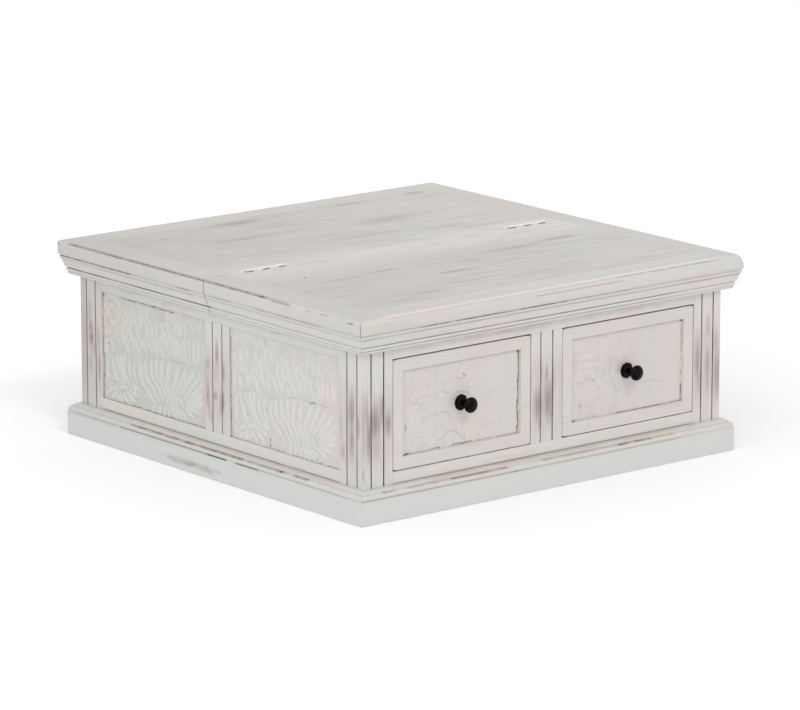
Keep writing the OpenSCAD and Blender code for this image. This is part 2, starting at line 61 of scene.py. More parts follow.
# The table's main sizes, taken from the frame
TOP_LOW, TOP_HIGH = box("front_top_edging")
EDGE_OUT, EDGE_LOW, TOP_Z = -TOP_LOW.x, TOP_LOW.z, TOP_HIGH.z
BODY_OUT = -box("corner_post_front_left")[0].x
MOULD_LOW, MOULD_HIGH = box("front_top_moulding")
PLINTH_LOW, PLINTH_HIGH = box("plinth_front")
RAIL_LOW = box("drawer_left_frame")[1].z
KNUCKLE = 18
HINGE_X = box("hinge_fixed_leaves")[1].x - 2.5 * KNUCKLE
KNOB_R = 14.3
DRAWER_X = box("drawer_right_knob")[1].x - KNOB_R
SPLIT_HALF = -box("front_top_panel")[1].y
PANEL_INSET = -box("front_top_panel")[0].x

# Where the thin lines lie on the posts, the edging and the plinth
GROOVES = (14, BODY_OUT - 46, BODY_OUT - 18)
QUIRK_Z = EDGE_LOW + 7
VALLEY_Z = PLINTH_HIGH.z - 6.6
FACE_Z = PLINTH_HIGH.z - 15.6

# Broken lines of glaze and wear: start, stop, strength
FRONT_QUIRK = ((-440, -330, 0.2), (-300, 20, 0.8), (45, 160, 0.4), (185, 440, 0.12))
LEFT_QUIRK = ((231, 440, 0.9), (52, 77, 0.6), (-70, -22, 0.3), (-324, -150, 0.35))
FRONT_VALLEY = ((-386, -365, 0.6), (-329, -231, 0.4), (-231, -108, 0.72), (-20, 160, 0.45),
                (165, 190, 0.9), (200, 236, 0.8), (250, 290, 0.3))
LEFT_VALLEY = ((76, 240, 0.75), (-95, 70, 0.85), (-210, -110, 0.6), (-222, -206, 0.5), (-281, -244, 0.7))
FRONT_STEP = ((-433, -90, 0.36), (-80, 300, 0.26))
LEFT_STEP = ((0, 268, 0.5), (-46, 0, 0.95), (-138, -82, 0.75), (-399, -150, 0.2), (290, 420, 0.2))
LEFT_ARRIS = ((-165, 400, 0.95), (-235, -175, 0.45))
LEFT_DASHES = ((-250, -201, 0.5), (-310, -300, 0.3), (-359, -340, 0.4))
CORNER_DASH = ((-428, -417, 0.8),)
FRONT_DASH = ((-45, 150, 0.55),)
LEFT_CROWN = ((-330, 120, 0.4),)
FRONT_CROWN = ((-350, 345, 0.26),)

# The moulding's lines: height, half width, strength at the front, broken line on the left
MOULD_LINES = (
    (333.6, 0.5, 0.3, ((60, 300, 0.25), (-420, 0, 0.1))),
    (318.2, 0.7, 0.5, ((10, 430, 0.85), (-60, 0, 0.3), (-420, -80, 0.08))),
    (310.9, 0.6, 0.45, ((40, 430, 0.12), (-420, 0, 0.1))),
    (304.2, 0.6, 0.45, ((40, 430, 0.15), (-420, 0, 0.1))),
)

# Rubbed streaks on the top: centre and radii across it in millimetres, strength
TOP_STREAKS = (
    ((-55, -229), (62, 10), 0.4), ((-150, -147), (55, 9), 0.4), ((155, -137), (100, 16), 0.28),
    ((288, -126), (62, 12), 0.32), ((155, 217), (110, 26), 0.25), ((182, 371), (62, 9), 0.35),
    ((345, 376), (34, 16), 0.35), ((-96, 362), (84, 18), 0.4), ((-297, 322), (26, 8), 0.3),
    ((-299, 141), (10, 6), 0.4), ((-208, -334), (64, 9), 0.28), ((-240, -157), (90, 10), 0.2),
    ((-337, -270), (52, 8), 0.25), ((20, 120), (120, 16), 0.2), ((-180, 240), (110, 18), 0.22),
    ((250, 60), (90, 12), 0.18), ((60, -330), (90, 12), 0.15),
)


# Expressions in a material's node tree
class Field:
    """A number, place or colour in a material's node tree. Arithmetic on it adds Math nodes."""

    def __init__(self, paint, socket):
        self.paint, self.socket = paint, socket

    def __add__(self, other):
        return self.paint.math("ADD", self, other)

    def __sub__(self, other):
        return self.paint.math("SUBTRACT", self, other)

    def __mul__(self, other):
        return self.paint.math("MULTIPLY", self, other)

    def __rsub__(self, other):
        return self.paint.math("SUBTRACT", other, self)

    __radd__, __rmul__ = __add__, __mul__

    def __abs__(self):
        return self.paint.math("ABSOLUTE", self)

    def smooth(self, low, high):
        """0 below low and 1 above high, with a soft step between."""
        return self.paint.node("ShaderNodeMapRange", {"Value": self, "From Min": low, "From Max": high},
                               interpolation_type="SMOOTHSTEP")

    def band(self, middle, half, soft):
        """1 within half of the middle, and 0 from half plus soft."""
        return 1.0 - abs(self - middle).smooth(half, half + soft)

    def spans(self, windows, soft=12):
        """The strength of a broken line along this run: windows are (start, stop, strength)."""
        parts = [self.band((start + stop) / 2, (stop - start) / 2, soft) * strength
                 for start, stop, strength in windows]
        return self.paint.gather("ADD", parts)


class Finish:
    """A material built from expressions of the place on the object, with the colour so far."""

    def __init__(self, name, base, roughness=0.6, specular=0.4, metallic=0.0):
        self.material = bpy.data.materials.new(name)
        self.material.use_nodes = True
        self.tree = self.material.node_tree
        self.shader = self.tree.nodes["Principled BSDF"]
        self.fill(self.shader, {"Roughness": roughness, "Specular IOR Level": specular,
                                "Metallic": metallic})
        metres = self.node("ShaderNodeTexCoord", {}, "Object")
        self.place = self.node("ShaderNodeVectorMath", {0: metres, "Scale": 1 / MM}, operation="SCALE")
        self.x, self.y, self.z = (self.node("ShaderNodeSeparateXYZ", {0: self.place}, axis)
                                  for axis in "XYZ")
        self.colour = (*base, 1.0)

    def fill(self, node, inputs):
        """Links or sets a node's inputs, given by name or number."""
        for key, value in inputs.items():
            if isinstance(value, Field):
                self.tree.links.new(value.socket, node.inputs[key])
            else:
                node.inputs[key].default_value = value

    def node(self, kind, inputs, output=0, **settings):
        """Adds a node and returns one of its outputs as a field."""
        node = self.tree.nodes.new(kind)
        for key, value in settings.items():
            setattr(node, key, value)
        self.fill(node, inputs)
        return Field(self, node.outputs[output])

    def math(self, operation, *values):
        return self.node("ShaderNodeMath", dict(enumerate(values)), operation=operation)

    def vector(self, operation, *values, output=0):
        return self.node("ShaderNodeVectorMath", dict(enumerate(values)), output, operation=operation)

    def gather(self, operation, parts):
        """Several fields taken together by one operation."""
        return functools.reduce(lambda a, b: self.math(operation, a, b), parts)

    def least(self, a, b):
        return self.math("MINIMUM", a, b)

    def most(self, a, b):
        return self.math("MAXIMUM", a, b)

    def noise(self, size, seed, stretch=(1, 1, 1), detail=2.0, roughness=0.5):
        """Smooth noise about 0.5, in lumps of the size given times the stretch along each axis."""
        offset = (seed * 3.7, seed * 1.9 + 5.1, seed * 2.3 - 8.3)
        place = self.vector("MULTIPLY_ADD", self.place, [1 / (size * s) for s in stretch], offset)
        inputs = {"Vector": place, "Scale": 1.0, "Detail": detail, "Roughness": roughness}
        return self.node("ShaderNodeTexNoise", inputs, noise_dimensions="3D")

    def blob(self, centre, radii):
        """How far the place is from a centre, in the radii given along the three axes."""
        away = self.vector("SUBTRACT", self.place, centre)
        return self.vector("LENGTH", self.vector("DIVIDE", away, radii), output="Value")

    def carried(self, name):
        """A number kept on the mesh's points."""
        return self.node("ShaderNodeAttribute", {}, "Fac", attribute_name=name)

    def over(self, colour, share):
        """Lays a colour over what is there, wholly where the share is 1."""
        inputs = {"Factor": share, "A": self.colour, "B": (*colour, 1.0)}
        self.colour = self.node("ShaderNodeMix", inputs, "Result", data_type="RGBA", clamp_factor=True)

    def shade(self, factor):
        """Multiplies the colour by a number."""
        inputs = {0: self.colour, "Scale": factor}
        self.colour = self.node("ShaderNodeVectorMath", inputs, operation="SCALE")

    def done(self, height=None, depth=0.2, roughness=None):
        """The finished material, with bumps from the height given and depth high."""
        inputs = {"Base Color": self.colour}
        if roughness:
            inputs["Roughness"] = roughness
        if height:
            bump = {"Strength": 1.0, "Distance": depth * MM, "Height": height}
            inputs["Normal"] = self.node("ShaderNodeBump", bump)
        self.fill(self.shader, inputs)
        return self.material


# Colours and marks
def srgb(red, green, blue):
    """A colour written as it is seen on screen, 0 to 255, in the linear values that shaders use."""
    def linear(v):
        v /= 255
        return v / 12.92 if v <= 0.04045 else ((v + 0.055) / 1.055) ** 2.4
    return linear(red), linear(green), linear(blue)


# Tints of the whitewash
WHITE = srgb(203, 200, 196)
ROSY = srgb(208, 197, 194)
CREAM = srgb(207, 200, 188)
PALE = srgb(199, 201, 196)
COOL = srgb(196, 200, 200)
ARRIS_HIGHLIGHT = srgb(222, 221, 216)
SPLIT_HIGHLIGHT = srgb(224, 222, 217)
HINGE_LIGHT = srgb(222, 220, 214)
PALE_YELLOW = srgb(208, 206, 190)
PEACH = srgb(206, 196, 186)

# What shows through it and lies in its recesses
LILAC = srgb(184, 174, 172)
FADED = srgb(176, 164, 162)
TAN = srgb(186, 172, 158)
TAWNY = srgb(186, 170, 158)
VALLEY_GREY = srgb(158, 156, 148)
STAIN_LIGHT = srgb(204, 194, 182)
STAIN_DARK = srgb(168, 148, 136)
SMOKE = srgb(143, 129, 126)
BROWN = srgb(112, 94, 84)
OLIVE = srgb(112, 104, 88)
GLAZE = srgb(88, 77, 70)
DEEP = srgb(46, 38, 33)

# Bare wood, metal and the paint on the hinges
WOOD = srgb(196, 166, 128)
LATE_WOOD = srgb(163, 127, 88)
RED_WOOD = srgb(178, 142, 108)
PORES = srgb(112, 82, 54)
LACQUER = srgb(4, 3, 3)
LACQUER_WORN = srgb(18, 13, 11)
STEEL = srgb(150, 148, 144)
STEEL_PALE = srgb(178, 176, 170)
HINGE_WHITE = srgb(224, 222, 216)
HINGE_GREY = srgb(204, 202, 196)

# Where the paint is rubbed on the posts and uprights: place and radii in millimetres, strength
NEAR_RUBS = (
    ((-393, -420, 178), (9.4, 8, 30), 1.0), ((-391, -420, 133), (7.5, 8, 24), 0.4),
    ((-378, -420, 196), (5, 8, 25), 0.85), ((-364, -420, 172), (6, 8, 21), 1.0),
    ((-407, -420, 151), (5.5, 8, 38), 0.95), ((-413, -420, 199), (3, 8, 27), 0.6),
    ((-420, -420, 194), (3, 3, 34), 0.5), ((-420, -387, 194), (8, 6.5, 34), 0.9),
    ((-420, -388, 141), (8, 5.5, 34), 0.85), ((-420, -407, 170), (8, 3, 18), 0.6),
    ((-420, -363, 119), (8, 4, 14), 0.6), ((-420, -358, 165), (8, 4, 26), 0.4),
    ((-411, -420, 178), (1.6, 8, 44), 0.8), ((-420, -420, 172), (2, 2, 56), 0.7),
    ((-419, -420, 86), (1.5, 4, 12), 0.6),
)
MIDDLE_RUBS = (
    ((4, -420, 158), (8.5, 8, 36), 1.0), ((0, -420, 206), (3.2, 8, 16), 0.9),
    ((-20, -420, 153), (8, 8, 29), 0.95), ((-16, -420, 123), (4, 8, 20), 0.6),
    ((-11, -420, 155), (3.4, 8, 30), 0.5), ((-12, -420, 209), (2.8, 8, 22), 0.5),
    ((10, -420, 136), (4, 8, 20), 0.7), ((17, -420, 196), (3, 8, 28), 0.4),
)
RIGHT_RUBS = (
    ((364, -420, 177), (5.2, 8, 44), 0.85), ((389, -420, 165), (5, 8, 32), 0.7),
    ((389, -420, 236), (4.4, 8, 20), 0.5), ((413, -420, 150), (7.2, 8, 46), 0.75),
    ((410, -420, 207), (5, 8, 22), 0.5), ((369, -420, 140), (4, 8, 24), 0.6),
    ((390, -420, 136), (4, 8, 24), 0.5),
)
FAR_RUBS = (
    ((-420, 389, 211), (8, 5.4, 14), 0.85), ((-420, 387, 190), (8, 6, 15), 1.0),
    ((-420, 381, 170), (8, 7, 12), 0.45), ((-420, 390, 142), (8, 4, 16), 0.5),
    ((-420, 363, 139), (8, 3.2, 28), 0.85), ((-420, 364, 192), (8, 3, 22), 0.5),
    ((-420, 411, 187), (8, 9, 130), 0.35), ((-420, 393, 241), (8, 6, 26), 0.4),
)
LEFT_MIDDLE_RUBS = (
    ((-420, 1, 228), (8, 3.6, 23), 1.0), ((-420, 6, 150), (8, 4, 8), 0.95),
    ((-420, -19, 196), (8, 2.9, 20), 0.95), ((-420, -17, 143), (8, 3.8, 20), 0.95),
    ((-420, -10, 137), (8, 2.6, 21), 0.8), ((-420, 28, 149), (8, 4.4, 26), 0.8),
    ((-420, 28, 206), (8, 4.8, 12), 0.6), ((-420, 34, 182), (8, 1.9, 24), 0.5),
    ((-420, 24, 122), (8, 3, 16), 0.6), ((-420, 4, 197), (8, 4, 20), 0.3),
    ((-420, 18, 110), (8, 2.4, 12), 0.5),
)

# Other marks: place and radii in millimetres
PEACH_PLACES = (((-BODY_OUT, 250, 72), (8, 180, 14)), ((-BODY_OUT, 350, 180), (8, 10, 130)))
YELLOW_CORNER = ((-BODY_OUT, 9 - BODY_OUT, 265), (8, 9, 50))
TOP_NICK = ((-299, -103, TOP_Z), (3.4, 5.5, 4))
FAR_NOTCH = ((1 - EDGE_OUT, EDGE_OUT - 1, TOP_Z - 7), (5, 5, 4))
PLINTH_PATCH = ((-441, 45, 17), (12, 105, 9))
BLUSH_PLACE = ((-BODY_OUT, -345, 190), (20, 70, 130))
LONG = (1, 1, 0.2)
STREAKED = (1, 1, 0.3)


# Materials
def whitewash(name, grain, painted_shade_factor=1.0, smoky=0.3):
    """Whitewashed wood: brushed off-white paint over a brown glaze that stays in the recesses.

    grain is the axis, 0 to 2, along which the paint is brushed, painted_shade_factor darkens the
    paint of the whole part as painted shade, and smoky is how strongly the undercoat shows through.
    Returns the finish, its height and the ragged noise that the wear uses.
    """
    paint = Finish(name, WHITE, specular=0.3)
    along = [16.0 if axis == grain else 1.0 for axis in range(3)]
    wide = [5.0 if axis == grain else 1.0 for axis in range(3)]
    tint = paint.noise(38, 1, wide)
    warmth = paint.noise(50, 2, wide)
    paint.over(ROSY, tint.smooth(0.48, 0.72) * 0.9)
    paint.over(PALE, warmth.smooth(0.5, 0.3) * 0.9)
    paint.over(CREAM, warmth.smooth(0.58, 0.8) * 0.5)
    brush = paint.noise(2.6, 3, along, detail=3.0, roughness=0.65)
    # Painted light: the left side is tinted cooler, and darker towards the back.
    leftward = paint.x.smooth(-300, -420)
    shading = paint.y.smooth(-150, 420) * leftward
    paint.over(COOL, leftward * paint.z.smooth(TOP_Z, MOULD_LOW.z) * 0.35)
    mottle = paint.noise(24, 26, detail=3.0)
    paint.shade((0.915 + brush * 0.09 + mottle * 0.06) * painted_shade_factor * (1.0 - shading * 0.085))
    streak = paint.noise(7, 4, along, detail=3.0, roughness=0.6)
    gate = paint.noise(90, 5, wide)
    paint.over(SMOKE, streak.smooth(0.5, 0.78) * gate.smooth(0.4, 0.62) * smoky)
    ragged = paint.noise(5, 6, along, detail=3.0, roughness=0.6)
    return paint, brush, ragged


def rubbed(paint, ragged, centre, radii, strength):
    """A rubbed place with a ragged rim."""
    reach = (radii[0] * 1.35, radii[1] * 1.35, radii[2] * 1.15)
    return (paint.blob(centre, reach) * 0.8 + (ragged - 0.5) * 1.3).smooth(1.2, 0.0) * strength


def body_paint(name, grain, rubs=()):
    """Paint on the walls' posts, rails and uprights. Without rubs its wear falls anywhere at mid height."""
    paint, brush, ragged = whitewash(name, grain, smoky=0.22)
    if rubs:
        worn = paint.gather("MAXIMUM", [rubbed(paint, ragged, *place) for place in rubs])
    else:
        wear = paint.noise(22, 19, (0.6, 0.6, 2.6), detail=3.0)
        worn = wear.smooth(0.54, 0.72) * paint.z.band(170, 40, 70) * (grain == 2)
    depth = paint.least(BODY_OUT - abs(paint.x), BODY_OUT - abs(paint.y))
    outer = depth.smooth(6, 4)
    if grain == 2:
        haze = paint.z.band(165, 30, 90)
    else:
        cloud = paint.noise(45, 25, (1.5, 1.5, 1)).smooth(0.5, 0.62)
        haze = cloud * paint.z.smooth(280, 300) * 0.7
    paint.over(LILAC, outer * haze * (0.25 + ragged.smooth(0.35, 0.65) * 0.5))
    paint.over(SMOKE, worn * (0.66 + brush * 0.5) * outer)
    # A pale yellow strip on the near corner's upper part.
    paint.over(PALE_YELLOW, paint.blob(*YELLOW_CORNER).smooth(1.2, 0.4) * (0.2 + ragged * 0.6))
    for place in PEACH_PLACES:
        paint.over(PEACH, paint.blob(*place).smooth(1.2, 0.4) * 0.6)
    # Painted light: the rails under the moulding are lighter, against the moulding's shade; the far left
    # post is darker.
    high = paint.z.smooth(RAIL_LOW, MOULD_LOW.z)
    far = paint.y.smooth(340, 360) * paint.x.smooth(-410, -415)
    paint.shade(1.0 + high * 0.06 - far * 0.06)
    run = paint.least(abs(paint.x), abs(paint.y))
    grooves = paint.gather("ADD", [run.band(middle, 1.8, 0.6) for middle in GROOVES])
    hollow = depth.smooth(0.4, 2.2) * depth.smooth(8, 6)
    patchy = paint.noise(9, 7, (1, 1, 5), detail=3.0)
    faint = paint.x.band(-14, 3, 2) * paint.y.smooth(-300, -400)
    share = grooves * (0.42 + patchy.smooth(0.3, 0.62) * 0.55) * (1.0 - faint * 0.45)
    paint.over(GLAZE, hollow * share)
    # Painted shade on the inner faces of the openings, outside the grooves.
    paint.over(SMOKE, hollow * (1.0 - paint.least(grooves, 1.0)) * 0.2)
    foot = paint.z.band(PLINTH_HIGH.z + 0.5, 1, 2)
    between = 1.0 - run.smooth(330, 375)
    uneven = paint.noise(60, 10, LONG).smooth(0.1, 0.5)
    paint.over(GLAZE, foot * between * uneven * 0.5)
    return paint.done(brush, 0.12)


def lid_painted_light(paint):
    """1 on the left end of the lid beside the split, where the top is a little lighter."""
    # Painted light: the lid's left end beside the split is painted lighter.
    return paint.y.band(115, 65, 70) * paint.x.smooth(-150, -300)


def top_paint(name):
    """Paint on the flat top, brushed from side to side."""
    paint, brush, ragged = whitewash(name, 0, painted_shade_factor=0.915, smoky=0.55)
    streak = paint.noise(8, 17, (22, 1, 1), detail=3.0, roughness=0.6).smooth(0.46, 0.66)
    paint.over(FADED, streak * paint.noise(70, 18, (3, 1, 1)).smooth(0.36, 0.6) * 0.55)
    paint.shade(0.985 + paint.noise(30, 20, (9, 1, 1)) * 0.03)
    # Painted light: the top is lighter towards the right and beside the split, darker on the far half, and
    # lighter at its near left.
    near_split = paint.y.band(-16, 10, 100)
    across = paint.x.smooth(-350, 400) - 0.4
    far_half = paint.y.smooth(150, 400)
    paint.shade(1.008 + near_split * 0.14 + across * 0.075 - far_half * 0.02)
    near_edge = paint.y.smooth(-200, -320) * paint.x.smooth(200, 50)
    paint.shade(1.0 + near_edge * 0.018 + lid_painted_light(paint) * 0.026)
    # Painted highlight along the split.
    paint.over(SPLIT_HIGHLIGHT, paint.y.band(0, 2, 2) * 0.6)
    beside = 1.0 - abs(abs(paint.x) - HINGE_X).smooth(2.45 * KNUCKLE, 2.65 * KNUCKLE)
    behind = paint.y.band(8, 8, 5) + paint.y.band(-7, 3, 3) * 0.6
    paint.over(HINGE_LIGHT, beside * behind * 0.8)
    for centre, radii, strength in TOP_STREAKS:
        away = paint.blob((*centre, TOP_Z), (*radii, 9))
        paint.over(SMOKE, (away + (ragged - 0.5) * 1.2).smooth(1.1, 0.1) * strength * 1.35)
    nick = paint.blob(*TOP_NICK) + (ragged - 0.5) * 0.6
    paint.over(GLAZE, nick.smooth(1.0, 0.6) * 0.9)
    return paint.done(brush, 0.15)


def sides(paint):
    """1 on the left, on the front and on the other sides of the trim, as three fields."""
    along = abs(paint.x) - abs(paint.y)
    left = along.smooth(-1, 1) * paint.x.smooth(100, -100)
    front = along.smooth(1, -1) * paint.y.smooth(100, -100)
    return left, front, 1.0 - paint.most(left, front)


def mitre(paint, half, soft):
    """1 on the mitred corners."""
    return (abs(paint.x) - abs(paint.y)).band(0, half, soft)


def edging_paint(name):
    """Paint on the edging, with a painted highlight and painted shadow along its front arris, its worn left
    arris and the short dark dashes of wear.
    """
    paint, brush, ragged = whitewash(name, 0, painted_shade_factor=0.95, smoky=0.2)
    outward = paint.most(abs(paint.x), abs(paint.y))
    drop = TOP_Z - paint.z
    left, front, other = sides(paint)
    face = outward.smooth(EDGE_OUT - 9, EDGE_OUT - 6)
    # Painted shade: the left face and the front face below the arris are darker.
    paint.shade(1.0 - left * face * 0.03 - front * drop.smooth(4, 12) * 0.025)
    # Painted light on the flat strip: lighter at the lid's left end, darker towards the left and the front.
    flat = drop.smooth(1.5, 0.1)
    painted_shade_flat = paint.x.smooth(0, -350) * 0.025 + paint.y.smooth(-360, -400) * 0.008
    paint.shade(1.0 + flat * (lid_painted_light(paint) * 0.04 - painted_shade_flat))
    # Painted highlight: a light band along the front arris and the flat strip's outer edge.
    turn = drop.band(0.9, 0.7, 0.3) * 0.45
    turn = turn + flat * outward.smooth(EDGE_OUT - 16, EDGE_OUT - 11) * 0.1
    clear_run = paint.x.band(0, 360, 60) * front
    paint.over(ARRIS_HIGHLIGHT, turn * clear_run)
    wander = (ragged - 0.5) * 1.5
    lengthwise = paint.noise(16, 8, STREAKED, detail=3.0).smooth(0.35, 0.6)
    # Painted shadow: a broken grey line just under the front arris's highlight.
    below = (drop - wander * 0.5).band(3.6, 0.8, 0.9) * clear_run
    below = below * (0.2 + paint.x.smooth(0, 250) * 0.4)
    paint.over(SMOKE, below * (0.4 + lengthwise * 0.6))
    worn = left * paint.y.spans(LEFT_ARRIS, 25) + other * 0.3
    arris = (drop - wander).band(3.0, 0.7, 2.3) * face
    paint.over(BROWN, arris * worn * (0.55 + lengthwise * 0.25))
    # Painted shade on the outer rim of the top's back and right edges.
    rim = outward.smooth(EDGE_OUT - 9, EDGE_OUT - 5) * drop.smooth(3, 0)
    paint.over(SMOKE, rim * other * 0.6)
    paint.over(DEEP, paint.blob(*FAR_NOTCH).smooth(1.0, 0.5) * 0.7)
    low_drop = drop - wander * 0.4
    paint.over(BROWN, low_drop.band(5.5, 0.6, 1) * left * paint.y.spans(LEFT_DASHES, 4))
    paint.over(OLIVE, low_drop.band(8, 0.7, 1) * left * paint.y.spans(CORNER_DASH, 4))
    paint.over(SMOKE, low_drop.band(10.5, 0.5, 0.8) * front * paint.x.spans(FRONT_DASH))
    uneven = paint.noise(70, 9, LONG).smooth(0.15, 0.6)
    strength = left * paint.y.spans(LEFT_QUIRK) + other * 0.5
    strength = strength + front * paint.x.spans(FRONT_QUIRK, 25)
    quirk = paint.z.band(QUIRK_Z, 0.9, 0.9) * face
    paint.over(BROWN, quirk * strength * (0.15 + uneven * 0.35 + lengthwise * 0.5))
    paint.over(GLAZE, paint.z.smooth(EDGE_LOW + 1.2, EDGE_LOW) * 0.3)
    down = drop.smooth(3, 5.5) * paint.z.smooth(QUIRK_Z - 2, QUIRK_Z)
    paint.over(OLIVE, mitre(paint, 0.7, 0.8) * face * down * (0.35 + ragged * 0.8))
    # Painted shade on the faces inside the split.
    split = paint.y.band(0, SPLIT_HALF, 0.8)
    paint.over(GLAZE, split * drop.smooth(2, 5) * 0.35)
    return paint.done(brush, 0.12)


def moulding_paint(name):
    """Paint on the moulding, with dark glaze in its narrow steps."""
    paint, brush, ragged = whitewash(name, 0, painted_shade_factor=0.99)
    left, front, other = sides(paint)
    uneven = paint.noise(80, 11, LONG).smooth(0.2, 0.6)
    right_end = paint.x.smooth(270, 330)
    for height, half, at_front, at_left in MOULD_LINES:
        fading = 1.0 - right_end * (0.8 if height < EDGE_LOW - 1 else -0.9)
        strength = front * fading * at_front + other * at_front
        strength = strength + left * paint.y.spans(at_left, 30)
        paint.over(BROWN, paint.z.band(height, half, 0.9) * strength * (0.4 + uneven * 0.7))
    paint.over(BROWN, mitre(paint, 0.5, 0.7) * ragged.smooth(0.45, 0.6) * 0.7)
    # Painted shade on the faces inside the split.
    paint.over(GLAZE, paint.y.band(0, SPLIT_HALF, 0.8) * 0.3)
    return paint.done(brush, 0.12)


def plinth_paint(name):
    """Paint on the plinth, rubbed through on its upper curve and broken along its steps."""
    paint, brush, _ = whitewash(name, 0, painted_shade_factor=0.955, smoky=0.15)
    # Painted light: the plinth's lower face is tinted cooler.
    paint.over(COOL, paint.z.smooth(FACE_Z, FACE_Z - 10) * 0.5)
    left, front, other = sides(paint)
    uneven = paint.noise(70, 12, LONG).smooth(0.25, 0.6)
    crown = paint.z.smooth(VALLEY_Z + 0.5, VALLEY_Z + 3)
    paint.over(TAN, crown * left * paint.y.spans(LEFT_CROWN, 60))
    grey = front * paint.x.spans(FRONT_CROWN, 20) + other * 0.2
    paint.over(TAWNY, crown * grey * (0.3 + uneven * 1.6))
    dashes = paint.noise(24, 13, STREAKED, detail=3.0).smooth(0.4, 0.55)
    strength = left * paint.y.spans(LEFT_VALLEY, 8)
    strength = strength + front * paint.x.spans(FRONT_VALLEY, 8) + other * dashes * 0.7
    paint.over(BROWN, paint.z.band(VALLEY_Z, 0.9, 1.1) * strength * (0.45 + dashes * 0.4))
    strength = left * paint.y.spans(LEFT_STEP, 10)
    strength = strength + front * paint.x.spans(FRONT_STEP, 20) + other * uneven * 0.6
    paint.over(BROWN, paint.z.band(FACE_Z, 0.7, 1) * strength)
    fray = paint.noise(7, 16, (1, 4, 1), detail=3.0)
    paint.over(BROWN, (paint.blob(*PLINTH_PATCH) + (fray - 0.5) * 1.8).smooth(1.1, 0.0) * 0.5)
    chip = paint.noise(7, 15).smooth(0.66, 0.72) * paint.z.smooth(3.5, 0)
    paint.over(BROWN, chip * 0.8)
    outward = paint.most(abs(paint.x), abs(paint.y))
    paint.over(SMOKE, mitre(paint, 0.3, 0.5) * outward.smooth(430, 435) * 0.5)
    return paint.done(brush, 0.12)


def drawer_paint(name):
    """Paint on the drawers' frames."""
    paint, brush, _ = whitewash(name, 0, painted_shade_factor=0.945)
    paint.over(ROSY, 0.2)
    # Painted light: the frame's inner faces in the recess are lighter, against their shade.
    depth = BODY_OUT + paint.y
    hollow = depth.smooth(0.8, 3) * depth.smooth(6, 5)
    paint.shade(1.0 + hollow * 0.12)
    patchy = paint.noise(40, 24, (1, 1, 3)).smooth(0.35, 0.65)
    stile = paint.x.band(-49, 0, 26) + paint.x.band(341, 0, 26)
    paint.over(CREAM, stile * patchy * 0.5)
    paint.shade(1.0 - stile * 0.02)
    return paint.done(brush, 0.12)


def carved_paint(name):
    """Old carved wood under whitewash: greyer in the valleys and brown at the ragged edges."""
    paint, _, _ = whitewash(name, 2, smoky=0.14)
    at_front = paint.y.smooth(-405, -410)
    at_far_left = paint.x.smooth(-405, -410) * paint.y.smooth(-5, 5)
    # Painted light by side: the front panels are rosier and darker, and the far left panel darker and paler.
    paint.over(ROSY, at_front * 0.25)
    paint.over(ROSY, paint.blob(*BLUSH_PLACE).smooth(1.1, 0.3) * 0.5)
    paint.shade(1.0 - at_front * 0.047 - at_far_left * 0.036)
    paint.over(PALE, at_far_left * 0.25)
    # The valleys are greyer: dirt in the hollows and painted shade.
    sunk = paint.carried("valley").smooth(0.1, 1.0)
    paint.over(SMOKE, sunk * (1.0 - at_far_left) * 0.14)
    paint.over(VALLEY_GREY, sunk * at_far_left * 0.3)
    paint.over(GLAZE, paint.least(paint.carried("edge") * 1.15, 1.0))
    stain = paint.carried("stain")
    cloudy = paint.noise(9, 23, detail=3.0).smooth(0.38, 0.66)
    paint.over(STAIN_LIGHT, stain * 0.4)
    paint.over(STAIN_DARK, stain * cloudy * 0.4)
    fine = paint.noise(3, 21, detail=3.0)
    for knob_x in (-DRAWER_X, DRAWER_X):
        smudge = paint.blob((knob_x - 9, -BODY_OUT, 190), (24, 20, 17)) + (fine - 0.5) * 1.4
        paint.over(SMOKE, smudge.smooth(1.1, 0.2) * 0.3)
    paint.over(SMOKE, paint.noise(4.5, 22).smooth(0.7, 0.78) * 0.3)
    return paint.done(fine, 0.4, roughness=0.62 + fine * 0.2)


def bare_wood(name, grain):
    """Unpainted wood with drawn-out grain and pores."""
    wood = Finish(name, WOOD, specular=0.3)
    along = [14.0 if axis == grain else 1.0 for axis in range(3)]
    wave = wood.math("FRACT", wood.noise(16, 31, along) * 9.0)
    wood.over(LATE_WOOD, wave.smooth(0.2, 0.9))
    wood.over(RED_WOOD, wood.noise(120, 32).smooth(0.4, 0.7))
    fine = wood.noise(1.2, 33, along, detail=3.0)
    wood.over(PORES, fine.smooth(0.6, 0.75) * 0.5)
    return wood.done(fine, 0.15, roughness=0.5 + fine * 0.2)


def iron(name):
    """Black lacquered cast iron."""
    metal = Finish(name, LACQUER, roughness=0.12, specular=0.09)
    cloud = metal.noise(6, 41, detail=3.0)
    metal.over(LACQUER_WORN, cloud.smooth(0.5, 0.75))
    return metal.done(cloud, 0.05, roughness=0.06 + cloud * 0.08)


def steel(name):
    """Plain steel of screws and pins."""
    metal = Finish(name, STEEL, roughness=0.35, metallic=1.0)
    cloud = metal.noise(3, 51, detail=3.0)
    metal.over(STEEL_PALE, cloud.smooth(0.35, 0.65))
    return metal.done(cloud, 0.05, roughness=0.28 + cloud * 0.16)


